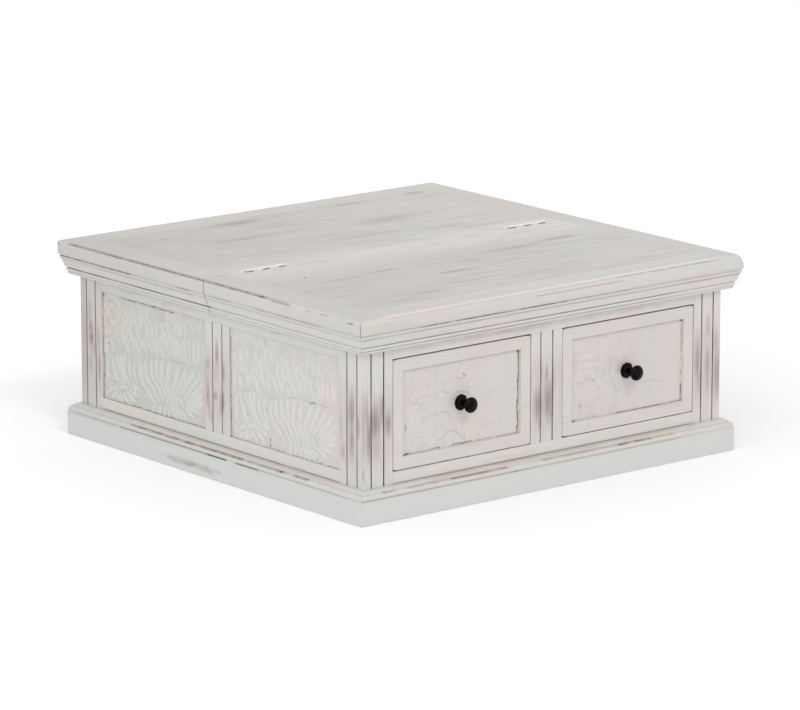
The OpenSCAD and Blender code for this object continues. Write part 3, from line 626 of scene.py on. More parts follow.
def hinge_paint(name):
    """Hinges painted over with the table, with painted shadow in the gaps under every other knuckle."""
    paint = Finish(name, HINGE_WHITE, roughness=0.5)
    cloud = paint.noise(4, 61, detail=3.0)
    paint.over(HINGE_GREY, cloud.smooth(0.4, 0.7))
    # Painted shadow: dark dashes at the near foot of the middle knuckle and the two end knuckles.
    across = abs(abs(paint.x) - HINGE_X)
    half, end = 0.42 * KNUCKLE, 0.5 * KNUCKLE
    under = 1.0 - abs(across - 2.0 * KNUCKLE).smooth(half, end)
    under = under + (1.0 - across.smooth(half, end))
    near = paint.y.smooth(-1.6, -2.6)
    low = paint.z.smooth(TOP_Z + 2.6, TOP_Z + 1.4)
    paint.over(DEEP, near * low * under * 0.75)
    return paint.done(cloud, 0.1)


MATERIALS = {
    "post": body_paint("whitewash_post", 2),
    "post_near": body_paint("whitewash_post_near", 2, NEAR_RUBS),
    "post_right": body_paint("whitewash_post_right", 2, RIGHT_RUBS),
    "post_far": body_paint("whitewash_post_far", 2, FAR_RUBS),
    "uprights_front": body_paint("whitewash_uprights_front", 2, NEAR_RUBS + MIDDLE_RUBS + RIGHT_RUBS),
    "uprights_left": body_paint("whitewash_uprights_left", 2, NEAR_RUBS + FAR_RUBS + LEFT_MIDDLE_RUBS),
    "rail_x": body_paint("whitewash_rail_x", 0),
    "rail_y": body_paint("whitewash_rail_y", 1),
    "top": top_paint("whitewash_top"),
    "edging": edging_paint("whitewash_edging"),
    "moulding": moulding_paint("whitewash_moulding"),
    "plinth": plinth_paint("whitewash_plinth"),
    "drawer": drawer_paint("whitewash_drawer"),
    "carved": carved_paint("whitewash_carving"),
    "wood_x": bare_wood("bare_wood_x", 0),
    "wood_y": bare_wood("bare_wood_y", 1),
    "iron": iron("knob_iron"),
    "steel": steel("steel"),
    "hinge": hinge_paint("painted_hinge"),
}


# CAD nodes that stay
def dress(node, material, bevel):
    """Gives a CAD node its material and softened edges."""
    piece = NODES[node]
    piece.data.materials.clear()
    piece.data.materials.append(MATERIALS[material])
    weld = piece.modifiers.new("weld", "WELD")
    weld.merge_threshold = 0.01 * MM
    rounded = piece.modifiers.new("bevel", "BEVEL")
    rounded.width = bevel * MM
    rounded.segments = 2
    rounded.limit_method = "ANGLE"
    rounded.angle_limit = math.radians(35)
    piece.modifiers.new("normals", "WEIGHTED_NORMAL")


POSTS = {"front_left": "post_near", "front_right": "post_right", "back_left": "post_far",
         "back_right": "post"}
for corner, material in POSTS.items():
    dress("corner_post_" + corner, material, 0.5)
WALLS = {"front": ("rail_x", "uprights_front"), "left": ("rail_y", "uprights_left"),
         "right": ("rail_y", "post"), "back": ("rail_x", "post")}
for wall, (rail, upright) in WALLS.items():
    dress(wall + "_rails", rail, 0.5)
    dress(wall + "_uprights", upright, 0.5)
for node in ("front_top_panel", "lid_panel"):
    dress(node, "top", 0.6)
for node in ("backing_boards", "bottom_board", "bottom_cleats", "centre_partition", "split_rail"):
    dress(node, "wood_x", 0.6)
for node in ("drawer_divider", "drawer_runners", "drawer_guides", "drawer_kickers", "lid_battens"):
    dress(node, "wood_y", 0.6)
for node in ("hinge_fixed_leaves", "hinge_lid_leaves"):
    dress(node, "hinge", 0.25)
for node in ("hinge_pins", "hinge_fixed_screws", "hinge_lid_screws"):
    dress(node, "steel", 0.2)
for drawer in ("drawer_left", "drawer_right"):
    dress(drawer + "_sides", "wood_y", 0.8)
    dress(drawer + "_back", "wood_x", 0.8)
    dress(drawer + "_bottom", "wood_y", 0.5)
    dress(drawer + "_knob_screw", "steel", 0.2)


# Mesh helpers
def lattice_noise(u, v, seed):
    """Smooth noise from -1 to 1 over a plane, from a seeded table of random values."""
    table = np.random.default_rng(seed).uniform(-1, 1, (64, 64))
    iu, iv = np.floor(u).astype(int), np.floor(v).astype(int)
    fu, fv = u - iu, v - iv
    fu, fv = fu * fu * (3 - 2 * fu), fv * fv * (3 - 2 * fv)

    def corner(a, b):
        return table[(iu + a) % 64, (iv + b) % 64]

    low = corner(0, 0) * (1 - fu) + corner(1, 0) * fu
    high = corner(0, 1) * (1 - fu) + corner(1, 1) * fu
    return low * (1 - fv) + high * fv


def rough_noise(u, v, seed):
    """Three sizes of smooth noise added up."""
    return (lattice_noise(u, v, seed) + 0.5 * lattice_noise(2.1 * u, 2.1 * v, seed + 1)
            + 0.25 * lattice_noise(4.3 * u, 4.3 * v, seed + 2)) / 1.4


def step(value, low, high):
    """0 below low and 1 above high, with a soft step between. high may be the smaller one."""
    t = np.clip((value - low) / (high - low), 0, 1)
    return t * t * (3 - 2 * t)


def make_piece(name, points, faces, material, body, replaced, layers=None):
    """A mesh piece from points in millimetres, that rides on a body and stands for CAD nodes.

    Edges that turn by more than 40 degrees stay hard. layers are numbers kept on its points.
    """
    mesh = bpy.data.meshes.new(name)
    mesh.from_pydata([tuple(p) for p in np.asarray(points) * MM], [], faces)
    mesh.validate()
    for layer, values in (layers or {}).items():
        attribute = mesh.attributes.new(layer, "FLOAT", "POINT")
        attribute.data.foreach_set("value", np.asarray(values, np.float32))
    mesh.polygons.foreach_set("use_smooth", [True] * len(mesh.polygons))
    mesh.set_sharp_from_angle(angle=math.radians(40))
    mesh.materials.append(MATERIALS[material])
    piece = bpy.data.objects.new(name, mesh)
    bpy.context.scene.collection.objects.link(piece)
    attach(piece, body)
    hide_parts(*replaced)
    if layers is None:
        piece.modifiers.new("normals", "WEIGHTED_NORMAL").keep_sharp = True


def grid_faces(rows, columns, closed=False):
    """Faces of a grid of points kept row by row; closed joins the last column to the first."""
    faces = []
    for r in range(rows - 1):
        for c in range(columns if closed else columns - 1):
            a, b = r * columns + c, r * columns + (c + 1) % columns
            faces.append((a, b, b + columns, a + columns))
    return faces


def tube_faces(rows, columns):
    """Faces of a tube of rings of points, with a cap at each end."""
    first, last = range(columns), range((rows - 1) * columns, rows * columns)
    return grid_faces(rows, columns, closed=True) + [tuple(first)[::-1], tuple(last)]


# Edging, moulding and plinth, swept along the sides
def stations(length):
    """Places along a side from -1 to 1, about 5 mm apart and closer together near its ends."""
    near = np.array([0, 0.8, 1.6, 2.6, 3.8, 5.2, 7, 10])
    middle = np.linspace(near[-1], length - near[-1], round((length - 28) / 5))
    run = np.concatenate([near[:-1], middle, length - near[:-1][::-1]])
    return run / length * 2 - 1


def turned(points, side):
    """Points drawn for the front side, turned to another side."""
    angle = {"front": 0, "right": math.pi / 2, "back": math.pi, "left": -math.pi / 2}[side]
    c, s = math.cos(angle), math.sin(angle)
    x, y = points[:, 0].copy(), points[:, 1].copy()
    points[:, 0], points[:, 1] = c * x - s * y, s * x + c * y
    return points


def rounded_corner(points, out, radius):
    """Rounds a mitred corner of the square out wide from the middle, seen from above."""
    inner = out - radius
    dx, dy = np.abs(points[:, 0]) - inner, np.abs(points[:, 1]) - inner
    inside = (dx > 0) & (dy > 0)
    scale = np.where(inside, np.maximum(dx, dy) / np.where(inside, np.hypot(dx, dy), 1), 1)
    for axis, away in ((0, dx), (1, dy)):
        moved = np.sign(points[:, axis]) * (inner + away * scale)
        points[:, axis] = np.where(inside, moved, points[:, axis])
    return points


def worn_round(profile):
    """How far each point of the edging's section goes back where its arris is worn round."""
    back = np.interp(TOP_Z - profile[:, 1], (0, 3, 9, 17, 24), (5, 6, 4.2, 1.3, 0))
    return np.where(profile[:, 0] > -12, back, 0)


def swept(profile, out, side, start, stop, wobble, radius, seed):
    """Points and faces of one side: a closed profile of (outward, height) swept along it.

    out is the distance of the profile's zero from the middle. A start or stop nearer than the
    widest point cuts the side short, at the split. One beyond it ends in a mitre. The edging's arris
    is worn round towards the right.
    """
    profile = np.array(profile, float)
    count = len(profile)
    round_off = worn_round(profile) if out == EDGE_OUT else np.zeros(count)
    widest = out + profile[:, 0].max()
    share = stations(2 * widest)
    lowest, highest = max(start / widest, -1), min(stop / widest, 1)
    share = share[(share > lowest) & (share < highest)]
    share = np.concatenate([[lowest], share, [highest]])
    rows = []
    for s in share:
        across = {"front": s, "back": -s, "right": 1, "left": -1}[side] * widest
        half = out + profile[:, 0] - round_off * step(across, -400, 150)
        blend = np.clip((abs(s) - 0.75) / 0.25, 0, 1)
        reach = s * (widest * (1 - blend) + half * blend)
        rows.append(np.stack([reach, -half, profile[:, 1]], 1))
    points = np.concatenate(rows)
    around = np.tile(np.arange(count), len(share)) * 0.7
    shift = (rough_noise(points[:, 0] / 55 + seed, around, seed) - 0.9) * wobble
    moving = np.tile(profile[:, 0] > profile[:, 0].max() - 8, len(share))
    points[:, 1] -= np.where(moving, shift, 0)
    return turned(rounded_corner(points, widest, radius), side), tube_faces(len(share), count)


def sweep_piece(name, profile, out, runs, material, body, replaced, wobble, radius):
    """One piece from several swept sides: runs are (side, start, stop).

    wobble is how uneven its outer face is, and radius rounds its mitred corners.
    """
    points, faces, total = [], [], 0
    for number, (side, start, stop) in enumerate(runs):
        p, f = swept(profile, out, side, start, stop, wobble, radius, 5 + 7 * number)
        points.append(p)
        faces += [tuple(i + total for i in face) for face in f]
        total += len(p)
    make_piece(name, np.concatenate(points), faces, material, body, replaced)


def edging_profile():
    """The edging's section: flat top, broad soft arris, full face, quirk and fillet at the foot."""
    inner = PANEL_INSET - EDGE_OUT - 0.3
    points = [(inner, EDGE_LOW), (inner, TOP_Z - 0.05)]
    for out, drop in ((-30, 0), (-9.0, 0), (-6.0, 0.2), (-3.7, 0.9), (-2.0, 2.1), (-0.9, 3.9), (-0.3, 6.2),
                      (0, 9), (0, 13), (0, 17), (-0.1, 20), (-0.4, 23)):
        points.append((out, TOP_Z - drop))
    for out, rise in ((-1.0, 3.0), (-2.0, 1.6), (-3.1, 0.7), (-3.8, 0.1), (-3.8, -0.5), (-3.1, -1.1),
                      (-2.9, -2.0)):
        points.append((out, QUIRK_Z + rise))
    for out, rise in ((-3.2, 2.2), (-3.8, 1.0), (-4.6, 0.3), (-6.6, 0)):
        points.append((out, EDGE_LOW + rise))
    return points


def moulding_profile(inner):
    """The moulding's section: a falling hollow, a quirk and two beads, the lower one the smaller."""
    top, out = MOULD_HIGH.z, -MOULD_LOW.y - BODY_OUT
    foot = top - 31.2
    points = [(inner, foot), (inner, top)]
    for away, drop in ((3.2, 0), (3.0, 0.6), (2.5, 2.0), (1.4, 4.5), (0.4, 7.0), (-0.5, 9.5), (-1.2, 12),
                       (-1.9, 13.9), (-3.0, 14.9), (-4.8, 15.4), (-5.2, 16.0), (-4.6, 16.6), (-3.7, 17.4),
                       (-3.3, 18.8), (-3.4, 20.3), (-4.1, 21.8), (-5.3, 22.7), (-6.3, 23.0), (-6.4, 23.6),
                       (-5.8, 24.3), (-5.7, 25.8), (-6.3, 27.2), (-7.6, 28.2), (-10.0, 28.8), (-15.0, 29.4)):
        points.append((out + away, top - drop))
    return points + [(5.4, top - 29.9), (5.2, top - 30.6), (4.6, foot + 0.2), (3.4, foot)]


def plinth_profile():
    """The plinth's section: a flat face, a bead above it and a falling curve behind the bead."""
    top, out = PLINTH_HIGH.z, -PLINTH_LOW.y - BODY_OUT
    points = [(0, 0.3), (0, top), (4.0, top - 0.1), (7.6, top - 0.7), (10.4, top - 2.1), (12.0, top - 3.9)]
    points += [(12.7, VALLEY_Z + 0.9), (12.8, VALLEY_Z + 0.1), (13.4, VALLEY_Z - 0.3)]
    across, up = out - 7.4, (VALLEY_Z + FACE_Z) / 2 - 0.8
    for angle in np.radians(np.linspace(84, -28, 10)):
        points.append((across + 6.1 * math.cos(angle), up + 6.1 * math.sin(angle)))
    for back, drop in ((2.0, 0.1), (0.8, 0.4), (0.1, 1.1), (0, 2.0), (0, 14), (0, 28)):
        points.append((out - back, FACE_Z - drop))
    return points + [(out, 1.4), (out - 0.5, 0.4), (out - 1.4, 0.05)]


def build_trim():
    """The edging and moulding of both halves of the top, and the four plinth boards."""
    far = 2 * EDGE_OUT
    front_runs = [("front", -far, far), ("left", SPLIT_HALF, far), ("right", -far, -SPLIT_HALF)]
    lid_runs = [("back", -far, far), ("left", -far, -SPLIT_HALF), ("right", SPLIT_HALF, far)]
    for part, node, runs, body, inner in (("front", "front_top", front_runs, "carcass", 0),
                                          ("lid", "lid", lid_runs, "lid", 0.5)):
        sweep_piece("edging_" + part, edging_profile(), EDGE_OUT, runs, "edging", body,
                    [node + "_edging"], wobble=0.1, radius=1.6)
        sweep_piece("moulding_" + part, moulding_profile(inner), BODY_OUT, runs, "moulding", body,
                    [node + "_moulding"], wobble=0.15, radius=2.5)
    for side in ("front", "back", "left", "right"):
        sweep_piece("plinth_board_" + side, plinth_profile(), BODY_OUT, [(side, -far, far)], "plinth",
                    "carcass", ["plinth_" + side], wobble=0.3, radius=3.5)


# Drawer frames
def frame_ring(drawer):
    """The drawer's four frame members as one painted-over ring with softened edges."""
    low, high = box(drawer + "_frame")
    panel_low, panel_high = box(drawer + "_panel")
    middle = (low + high) / 2
    inner_x, inner_z = (panel_high.x - panel_low.x) / 2, (panel_high.z - panel_low.z) / 2
    width = (high.x - low.x) / 2 - inner_x
    deep, soft = high.y - low.y, 1.1
    rounding = [(soft * (1 - math.cos(t)), soft * (1 - math.sin(t))) for t in (0.5, 1.0, 1.57)]
    profile = [(0, deep), (0, soft), *rounding, (width * 0.35, 0), (width * 0.65, 0)]
    profile += [(width - t, back) for t, back in rounding[::-1]]
    profile += [(width, soft), (width, deep)]
    count, points, faces = len(profile), [], []
    for side in range(4):
        long, short = (inner_x, inner_z) if side % 2 == 0 else (inner_z, inner_x)
        for s in np.linspace(-1, 1, 34)[:-1]:
            for number, (t, back) in enumerate(profile):
                corner = max(abs(s) - 0.97, 0) / 0.03 * (t / width) ** 4 * 1.2
                along, away = s * (long + t - corner), short + t - corner
                sway = 0.22 * float(lattice_noise(np.array(s * 7 + 9 + side * 20), np.array(number), 90))
                away += sway if 1 < number < count - 2 else 0
                x, z = ((along, away), (away, -along), (-along, -away), (-away, along))[side]
                points.append((middle.x + x, low.y + back, middle.z + z))
    rows = len(points) // count
    for r in range(rows):
        for c in range(count):
            a, b = r * count + c, r * count + (c + 1) % count
            over = (r + 1) % rows * count - r * count
            faces.append((a, b, b + over, a + over))
    make_piece(drawer + "_front_frame", points, faces, "drawer", drawer, [drawer + "_frame"])


# Carved panels
def along_line(a, z, start, end):
    """How far along a line from start to end each place lies, 0 to 1, and how far from the line."""
    (a0, z0), (a1, z1) = start, end
    da, dz = a1 - a0, z1 - z0
    t = np.clip(((a - a0) * da + (z - z0) * dz) / (da * da + dz * dz), 0, 1)
    return t, np.hypot(a - a0 - t * da, z - z0 - t * dz)


def groove(a, z, points, width):
    """How deep, 0 to 1, a scratch along a line of points lies at each place."""
    nearest = np.minimum.reduce([along_line(a, z, *ends)[1] for ends in zip(points[:-1], points[1:])])
    return step(nearest, width, width * 0.25)


def stroke(a, z, points, width):
    """Height, 0 to 1, of a rounded rib along a line of points that thins towards both ends."""
    line = np.array(points, float)
    if len(line) > 2:
        where = np.linspace(0, len(line) - 1, 9)
        weights = np.polyfit(np.arange(len(line)), line, len(line) - 1)
        line = np.stack([np.polyval(weights[:, 0], where), np.polyval(weights[:, 1], where)], 1)
    total, height = len(line) - 1, np.zeros(a.shape)
    for number in range(total):
        t, away = along_line(a, z, line[number], line[number + 1])
        share = (number + t) / total
        reach = width * (0.45 + 0.55 * np.sin(np.pi * np.clip(share, 0.05, 0.95)) ** 0.6)
        height = np.maximum(height, np.sqrt(np.clip(1 - (away / reach) ** 2, 0, 1)) * reach / width)
    return height


def cut_lines(a, z, lines, ragged, seed):
    """How deep, 0 to 1, ragged scratches lie at each place: lines are (strength, width, points...)."""
    a = a + ragged * rough_noise(a / 6, z / 6, seed)
    z = z + ragged * rough_noise(a / 6 + 9, z / 6, seed + 3)
    fray = 0.75 + 0.35 * rough_noise(a / 9, z / 9, seed + 6)
    depth = np.zeros(a.shape)
    for strength, width, *points in lines:
        depth = np.maximum(depth, strength * groove(a, z, points, width * fray))
    return depth


def palmette_carving(a, z, wide, high, seed):
    """Side panels: a large palmette and a small one under rows of wavy flutes."""
    bend_a = a + 1.6 * rough_noise(a / 30, z / 30, seed)
    bend_z = z + 1.6 * rough_noise(a / 30 + 7, z / 30, seed + 3)
    ribs = np.maximum.reduce([stroke(bend_a, bend_z, line, width)
                              for width, lines in PALMETTE for line in lines])
    wave = a + 4.5 * np.sin(z / 9 + a / 45) + 8 * rough_noise(a / 26, z / 18, seed + 15)
    flutes = np.abs(np.sin(np.pi * wave / 11.0)) ** 0.9
    broken = 0.55 + 0.7 * rough_noise(a / 11, z / 9, seed + 18)
    rise = step(z, 0.53 * high, 0.6 * high)
    ground = flutes * np.clip(broken, 0, 1) * (0.38 + 0.55 * rise)
    ends = step(a, 0, 12) * step(a, wide, wide - 12) * step(z, high, high - 10)
    height = np.maximum(ribs, ground) * (0.25 + 0.75 * ends)
    height = 2.1 * height - 1.2 + 0.4 * rough_noise(a / 20, z / 20, seed + 21)
    cuts = cut_lines(a, z, SIDE_CUTS + (FAR_CUTS if seed == FAR_SEED else NEAR_CUTS), 1.4, seed + 24)
    return height - 1.3 * cuts, cuts


def patchwork_carving(a, z, wide, _, seed):
    """Left drawer: old boards planed nearly flat, with seams and the last of their carving."""
    cuts = cut_lines(a, z, LEFT_DRAWER_CUTS, 1.3, seed + 9)
    lumps = rough_noise(a / 9, z / 9, seed) * step(rough_noise(a / 40, z / 40, seed + 3), -0.5, 0.3)
    height = 1.2 * lumps * step(a, 0.8 * wide, 0.45 * wide) + 0.25 * rough_noise(a / 60, z / 40, seed + 6)
    return height - 0.9 * cuts, cuts * 0.85


def ribbed_carving(a, z, wide, _, seed):
    """Right drawer: nearly level ribs on its left third, and planed boards beside them."""
    ribs = np.maximum.reduce([stroke(a, z, line, 4.6) for line in DRAWER_RIBS])
    cuts = cut_lines(a, z, RIGHT_DRAWER_CUTS, 0.9, seed + 9)
    lumps = rough_noise(a / 11, z / 11, seed + 3) * step(a, 0.8 * wide, 0.3 * wide)
    height = 1.1 * ribs + 0.8 * lumps - 0.4 + 0.25 * rough_noise(a / 60, z / 40, seed + 6)
    return height - 0.9 * cuts, cuts * 0.85


# Ribs of the side panels' carving: half width, then lines of (along, up) points in mm
PALMETTE = (
    (6.4, (((117, 82), (116, 63), (124, 47)), ((133, 91), (131, 70), (140, 54)),
           ((150, 99), (149, 77), (156, 61)), ((167, 104), (165, 82), (168, 65)),
           ((184, 103), (181, 79), (182, 62)), ((205, 102), (201, 79), (198, 60)),
           ((232, 101), (225, 78), (213, 55)), ((256, 102), (243, 78), (227, 52)),
           ((277, 99), (260, 75), (238, 49)), ((294, 91), (272, 67), (249, 44)),
           ((304, 78), (283, 59), (256, 37)), ((306, 61), (286, 47), (260, 32)),
           ((303, 44), (285, 36), (262, 27)))),
    (4.5, (((128, 45), (143, 33), (158, 20)), ((143, 55), (159, 41), (174, 22)),
           ((158, 61), (173, 46), (188, 24)), ((173, 64), (188, 48), (201, 24)),
           ((187, 65), (200, 48), (212, 23)), ((200, 61), (211, 43), (221, 22)),
           ((216, 52), (225, 38), (230, 23)), ((232, 44), (240, 33), (246, 26)))),
    (4.6, (((176, 16), (172, 2)), ((190, 17), (187, 1)), ((199, 18), (205, 1)),
           ((210, 19), (227, 2)), ((219, 21), (244, 4)), ((234, 21), (256, 8)),
           ((252, 26), (276, 14)), ((262, 28), (293, 24)), ((160, 18), (150, 6)))),
    (4.2, (((69, 94), (66, 67), (75, 48), (88, 33)), ((42, 88), (54, 64), (70, 42)),
           ((15, 80), (15, 33)), ((27, 84), (36, 56), (49, 34)), ((56, 90), (58, 70), (68, 52)),
           ((84, 88), (82, 70), (92, 50)), ((99, 84), (97, 66), (106, 48)))),
    (4.2, (((10, 9), (26, 20), (41, 26)), ((49, 25), (62, 30), (76, 29)), ((45, 14), (47, 1)),
           ((54, 15), (57, 1)), ((62, 18), (75, 6)), ((76, 24), (95, 10)), ((84, 29), (108, 20)),
           ((36, 12), (24, 2)), ((98, 38), (102, 27)), ((92, 40), (112, 34)))),
    (4.4, (((153, 166), (154, 144), (159, 132)), ((166, 172), (166, 150), (169, 132)),
           ((179, 174), (190, 151), (205, 118)), ((199, 182), (201, 160)),
           ((207, 158), (217, 138), (233, 118)), ((222, 154), (229, 142), (237, 126)),
           ((238, 184), (239, 160)), ((40, 138), (51, 112)),
           ((61, 142), (66, 116)), ((104, 146), (118, 126)), ((122, 130), (136, 108)),
           ((143, 132), (148, 112)), ((264, 156), (267, 130)), ((27, 162), (32, 140)),
           ((87, 152), (90, 127), (100, 108)), ((9, 116), (12, 88)), ((24, 118), (31, 94)),
           ((71, 118), (82, 96)), ((104, 123), (115, 102)), ((251, 152), (257, 116)),
           ((278, 154), (281, 118)), ((292, 158), (295, 122)), ((134, 168), (138, 134)),
           ((46, 176), (52, 150)), ((72, 178), (76, 152)), ((100, 176), (104, 152)),
           ((118, 178), (121, 156)), ((222, 186), (224, 164)), ((255, 184), (257, 162)),
           ((180, 128), (188, 110)), ((164, 124), (170, 108)), ((214, 128), (224, 112)))),
)

# Scratches and seams: strength, half width, then (along, up) points in mm
SIDE_CUTS = (
    (0.2, 1.3, (27, 90), (46, 94), (62, 97)), (0.18, 1.3, (117, 92), (146, 98), (191, 107)),
    (0.2, 1.3, (191, 107), (252, 108), (290, 106)),
)
NEAR_CUTS = (
    (0.6, 1.4, (229, 105), (246, 107)),
    (0.85, 1.3, (0.6, 199), (1.4, 170), (0.5, 140), (1.6, 112), (0.6, 90), (1.8, 60), (1.0, 35), (2.2, 12),
     (1.0, 0)),
    (0.55, 1.2, (0, 1.2), (80, 0.5), (170, 1.5), (240, 0.8), (314, 1.2)),
    (0.8, 1.6, (116, 18), (116, 4)), (0.5, 1.4, (100, 196), (106, 188)), (0.4, 1.6, (8, 135), (11, 135)),
    (0.5, 1.3, (93, 66), (105, 68)), (0.5, 1.8, (49, 54), (50, 50)), (0.6, 1.8, (254, 12), (253, 6)),
    (0.5, 2.0, (307, 190), (308, 189)), (0.4, 1.5, (309, 134), (310, 126)),
)
FAR_SEED = 31
FAR_CUTS = (
    (0.85, 1.5, (1, 199), (2, 165), (0.8, 140), (1.8, 110), (1.0, 85), (3.5, 60), (2, 30), (2.5, 0)),
    (1.0, 3.0, (3, 198), (5, 193)),
    (0.75, 1.4, (0, 0.8), (80, 0.5), (170, 1.5), (240, 0.5), (314, 1.0)),
    (0.85, 1.3, (60, 198.5), (140, 198.8), (222, 198.6)),
    (0.7, 1.6, (14, 106), (24, 106), (28, 100), (29, 94)), (0.6, 1.8, (157, 16), (159, 16)),
    (0.6, 1.8, (106, 19), (107, 17)), (0.35, 1.3, (30, 36), (48, 38)),
)
LEFT_DRAWER_CUTS = (
    (0.3, 1.2, (0, 96), (33, 98), (69, 96)), (0.25, 1.0, (1, 90), (38, 89), (65, 87)),
    (0.35, 1.2, (49, 62), (87, 64), (105, 64)), (0.35, 1.3, (78, 9), (87, 17), (110, 30)),
    (0.45, 1.4, (110, 30), (123, 26), (139, 11)), (0.7, 1.5, (144, 20), (143, 7)),
    (0.7, 1.6, (7, 59), (11, 51), (9, 45)), (0.35, 1.4, (48, 62), (48, 51)),
    (0.4, 1.5, (123, 123), (132, 119), (141, 121)), (0.5, 2.2, (139, 129), (146, 125), (142, 121)),
    (0.35, 1.4, (92, 105), (98, 101), (105, 98)), (0.35, 2.2, (123, 97), (141, 97), (153, 92)),
    (0.3, 1.5, (105, 62), (110, 52)), (0.18, 1.2, (175, 87), (210, 87), (240, 87)),
    (0.15, 1.0, (176, 38), (177, 2)), (0.18, 1.2, (183, 26), (206, 28), (229, 26)),
    (0.25, 1.0, (50, 60), (58, 60), (57, 51), (50, 51)), (0.5, 1.8, (33, 63), (33, 60)),
    (0.4, 1.5, (228, 35), (229, 34)), (0.2, 1.2, (29, 31), (47, 26)), (0.2, 1.2, (74, 43), (83, 31)),
    (1.0, 2.3, (267, 152), (268, 125), (267, 98), (267, 75), (265, 50), (267, 35), (265, 3)),
    (1.0, 4.2, (265, 151), (267, 149)), (1.0, 2.4, (1, 1), (14, 1.5)), (0.5, 1.6, (14, 1.5), (80, 2)),
    (1.0, 2.2, (81, 2), (85, 2)), (0.9, 1.8, (116, 2.2), (160, 2.6)), (0.5, 1.6, (170, 2), (268, 1.0)),
    (0.3, 1.0, (1, 153.4), (146, 153.0)), (0.4, 1.3, (33, 152.6), (36, 152.6)),
)
RIGHT_DRAWER_CUTS = (
    (0.35, 1.3, (31, 77), (54, 71)), (0.75, 1.8, (53, 71), (57, 69)), (0.7, 2.0, (24, 28), (24, 26)),
    (0.3, 1.3, (210, 48), (217, 43), (228, 47)), (0.25, 1.2, (181, 49), (208, 49)),
    (0.12, 4.0, (96, 100), (94, 78), (108, 48)), (0.4, 1.4, (0, 51), (1, 30)),
    (0.6, 1.8, (269, 152), (268, 92)), (0.6, 2.0, (268, 80), (268, 78)), (0.6, 2.0, (267, 58), (267, 50)),
    (1.0, 2.2, (267, 32), (268, 15), (267, 3)), (1.0, 3.4, (266, 152), (268, 151)),
    (1.0, 2.2, (0, 1), (13, 1.2)), (0.2, 1.3, (13, 1), (110, 1)), (0.85, 1.8, (110, 0.8), (269, 0.8)),
    (0.35, 1.1, (1, 153.2), (268, 153.2)), (0.6, 1.6, (117, 153), (120, 153)),
    (0.6, 1.6, (186, 153), (189, 153)),
)
DRAWER_RIBS = (
    ((18, 127), (50, 128)), ((17, 115), (38, 113), (60, 112)), ((18, 100), (40, 98), (64, 96)),
    ((18, 89), (40, 86), (62, 83)), ((18, 75), (36, 73), (58, 66)), ((18, 61), (40, 55), (66, 53)),
    ((18, 53), (38, 46), (60, 42)), ((20, 42), (40, 36), (58, 32)),
)

# Seeds of the side panels' noise, the relief grids' pitches, and how the side panels fill their frames.
# The pitches are a little off 1.4, where a grid's count would fall on a half.
SIDE_PANELS = {"left_back": FAR_SEED, "left_front": 32, "right_back": 44, "right_front": 46,
               "back_left": 48, "back_right": 50}
SIDE_PITCH, DRAWER_PITCH = 1.401, 1.399
FILL, LIFT = 1.3, 1.5


def relief_panel(name, node, side, body, carving, seed, pitch, grow=0.0, lift=0.0):
    """A carved panel in its node's box: a relief grid in front and a flat back.

    grow widens it all round, to fill the gap in its frame with paint, and lift brings its face
    forward.
    """
    low, high = box(node)
    sideways = side in ("left", "right")
    spread = Vector((0, grow, grow) if sideways else (grow, 0, grow))
    low, high = low - spread, high + spread
    size = high - low
    wide, deep = (size.y, size.x) if sideways else (size.x, size.y)
    tall = size.z
    columns, rows = round(wide / pitch) + 1, round(tall / pitch) + 1
    u, v = np.meshgrid(np.linspace(0, 1, columns), np.linspace(0, 1, rows))
    a, z = u * wide, v * tall
    height, cut = carving(a, z, wide, tall, seed)
    rim = np.minimum.reduce([a, wide - a, z, tall - z])
    fall = step(rim, 2.5, 0.0)
    height = height * (1 - 0.7 * fall) - 0.3 * fall
    stain = step(np.hypot((u - 0.05) / 0.17, (v - 0.76) / 0.36), 1.1, 0.2) * (seed == FAR_SEED)

    def place(out):
        """The grid's points, brought outward from the face of the node's box."""
        if side == "front":
            grid = (low.x + a, low.y - out, low.z + z)
        elif side == "back":
            grid = (high.x - a, high.y + out, low.z + z)
        elif side == "left":
            grid = (low.x - out, high.y - a, low.z + z)
        else:
            grid = (high.x + out, low.y + a, low.z + z)
        return np.stack(grid, -1).reshape(-1, 3)

    index = np.arange(rows * columns).reshape(rows, columns)
    ring = np.concatenate([index[0, :], index[1:, -1], index[-1, -2::-1], index[-2:0:-1, 0]])
    points = np.concatenate([place(height + lift), place(np.full(a.shape, -deep))[ring]])
    rest = len(ring)
    behind = rows * columns + np.arange(rest)
    faces = grid_faces(rows, columns)
    for i in range(rest):
        j = (i + 1) % rest
        faces.append((ring[j], ring[i], behind[i], behind[j]))
    faces.append(tuple(behind[::-1]))
    faces = [tuple(int(i) for i in face) for face in faces]
    layers = {"valley": np.concatenate([step(height, 0.3, -1.3).ravel(), np.ones(rest)]),
              "edge": np.concatenate([np.clip(cut, 0, 1).ravel(), np.ones(rest)]),
              "stain": np.concatenate([stain.ravel(), np.zeros(rest)])}
    make_piece(name, points, faces, "carved", body, [node], layers)


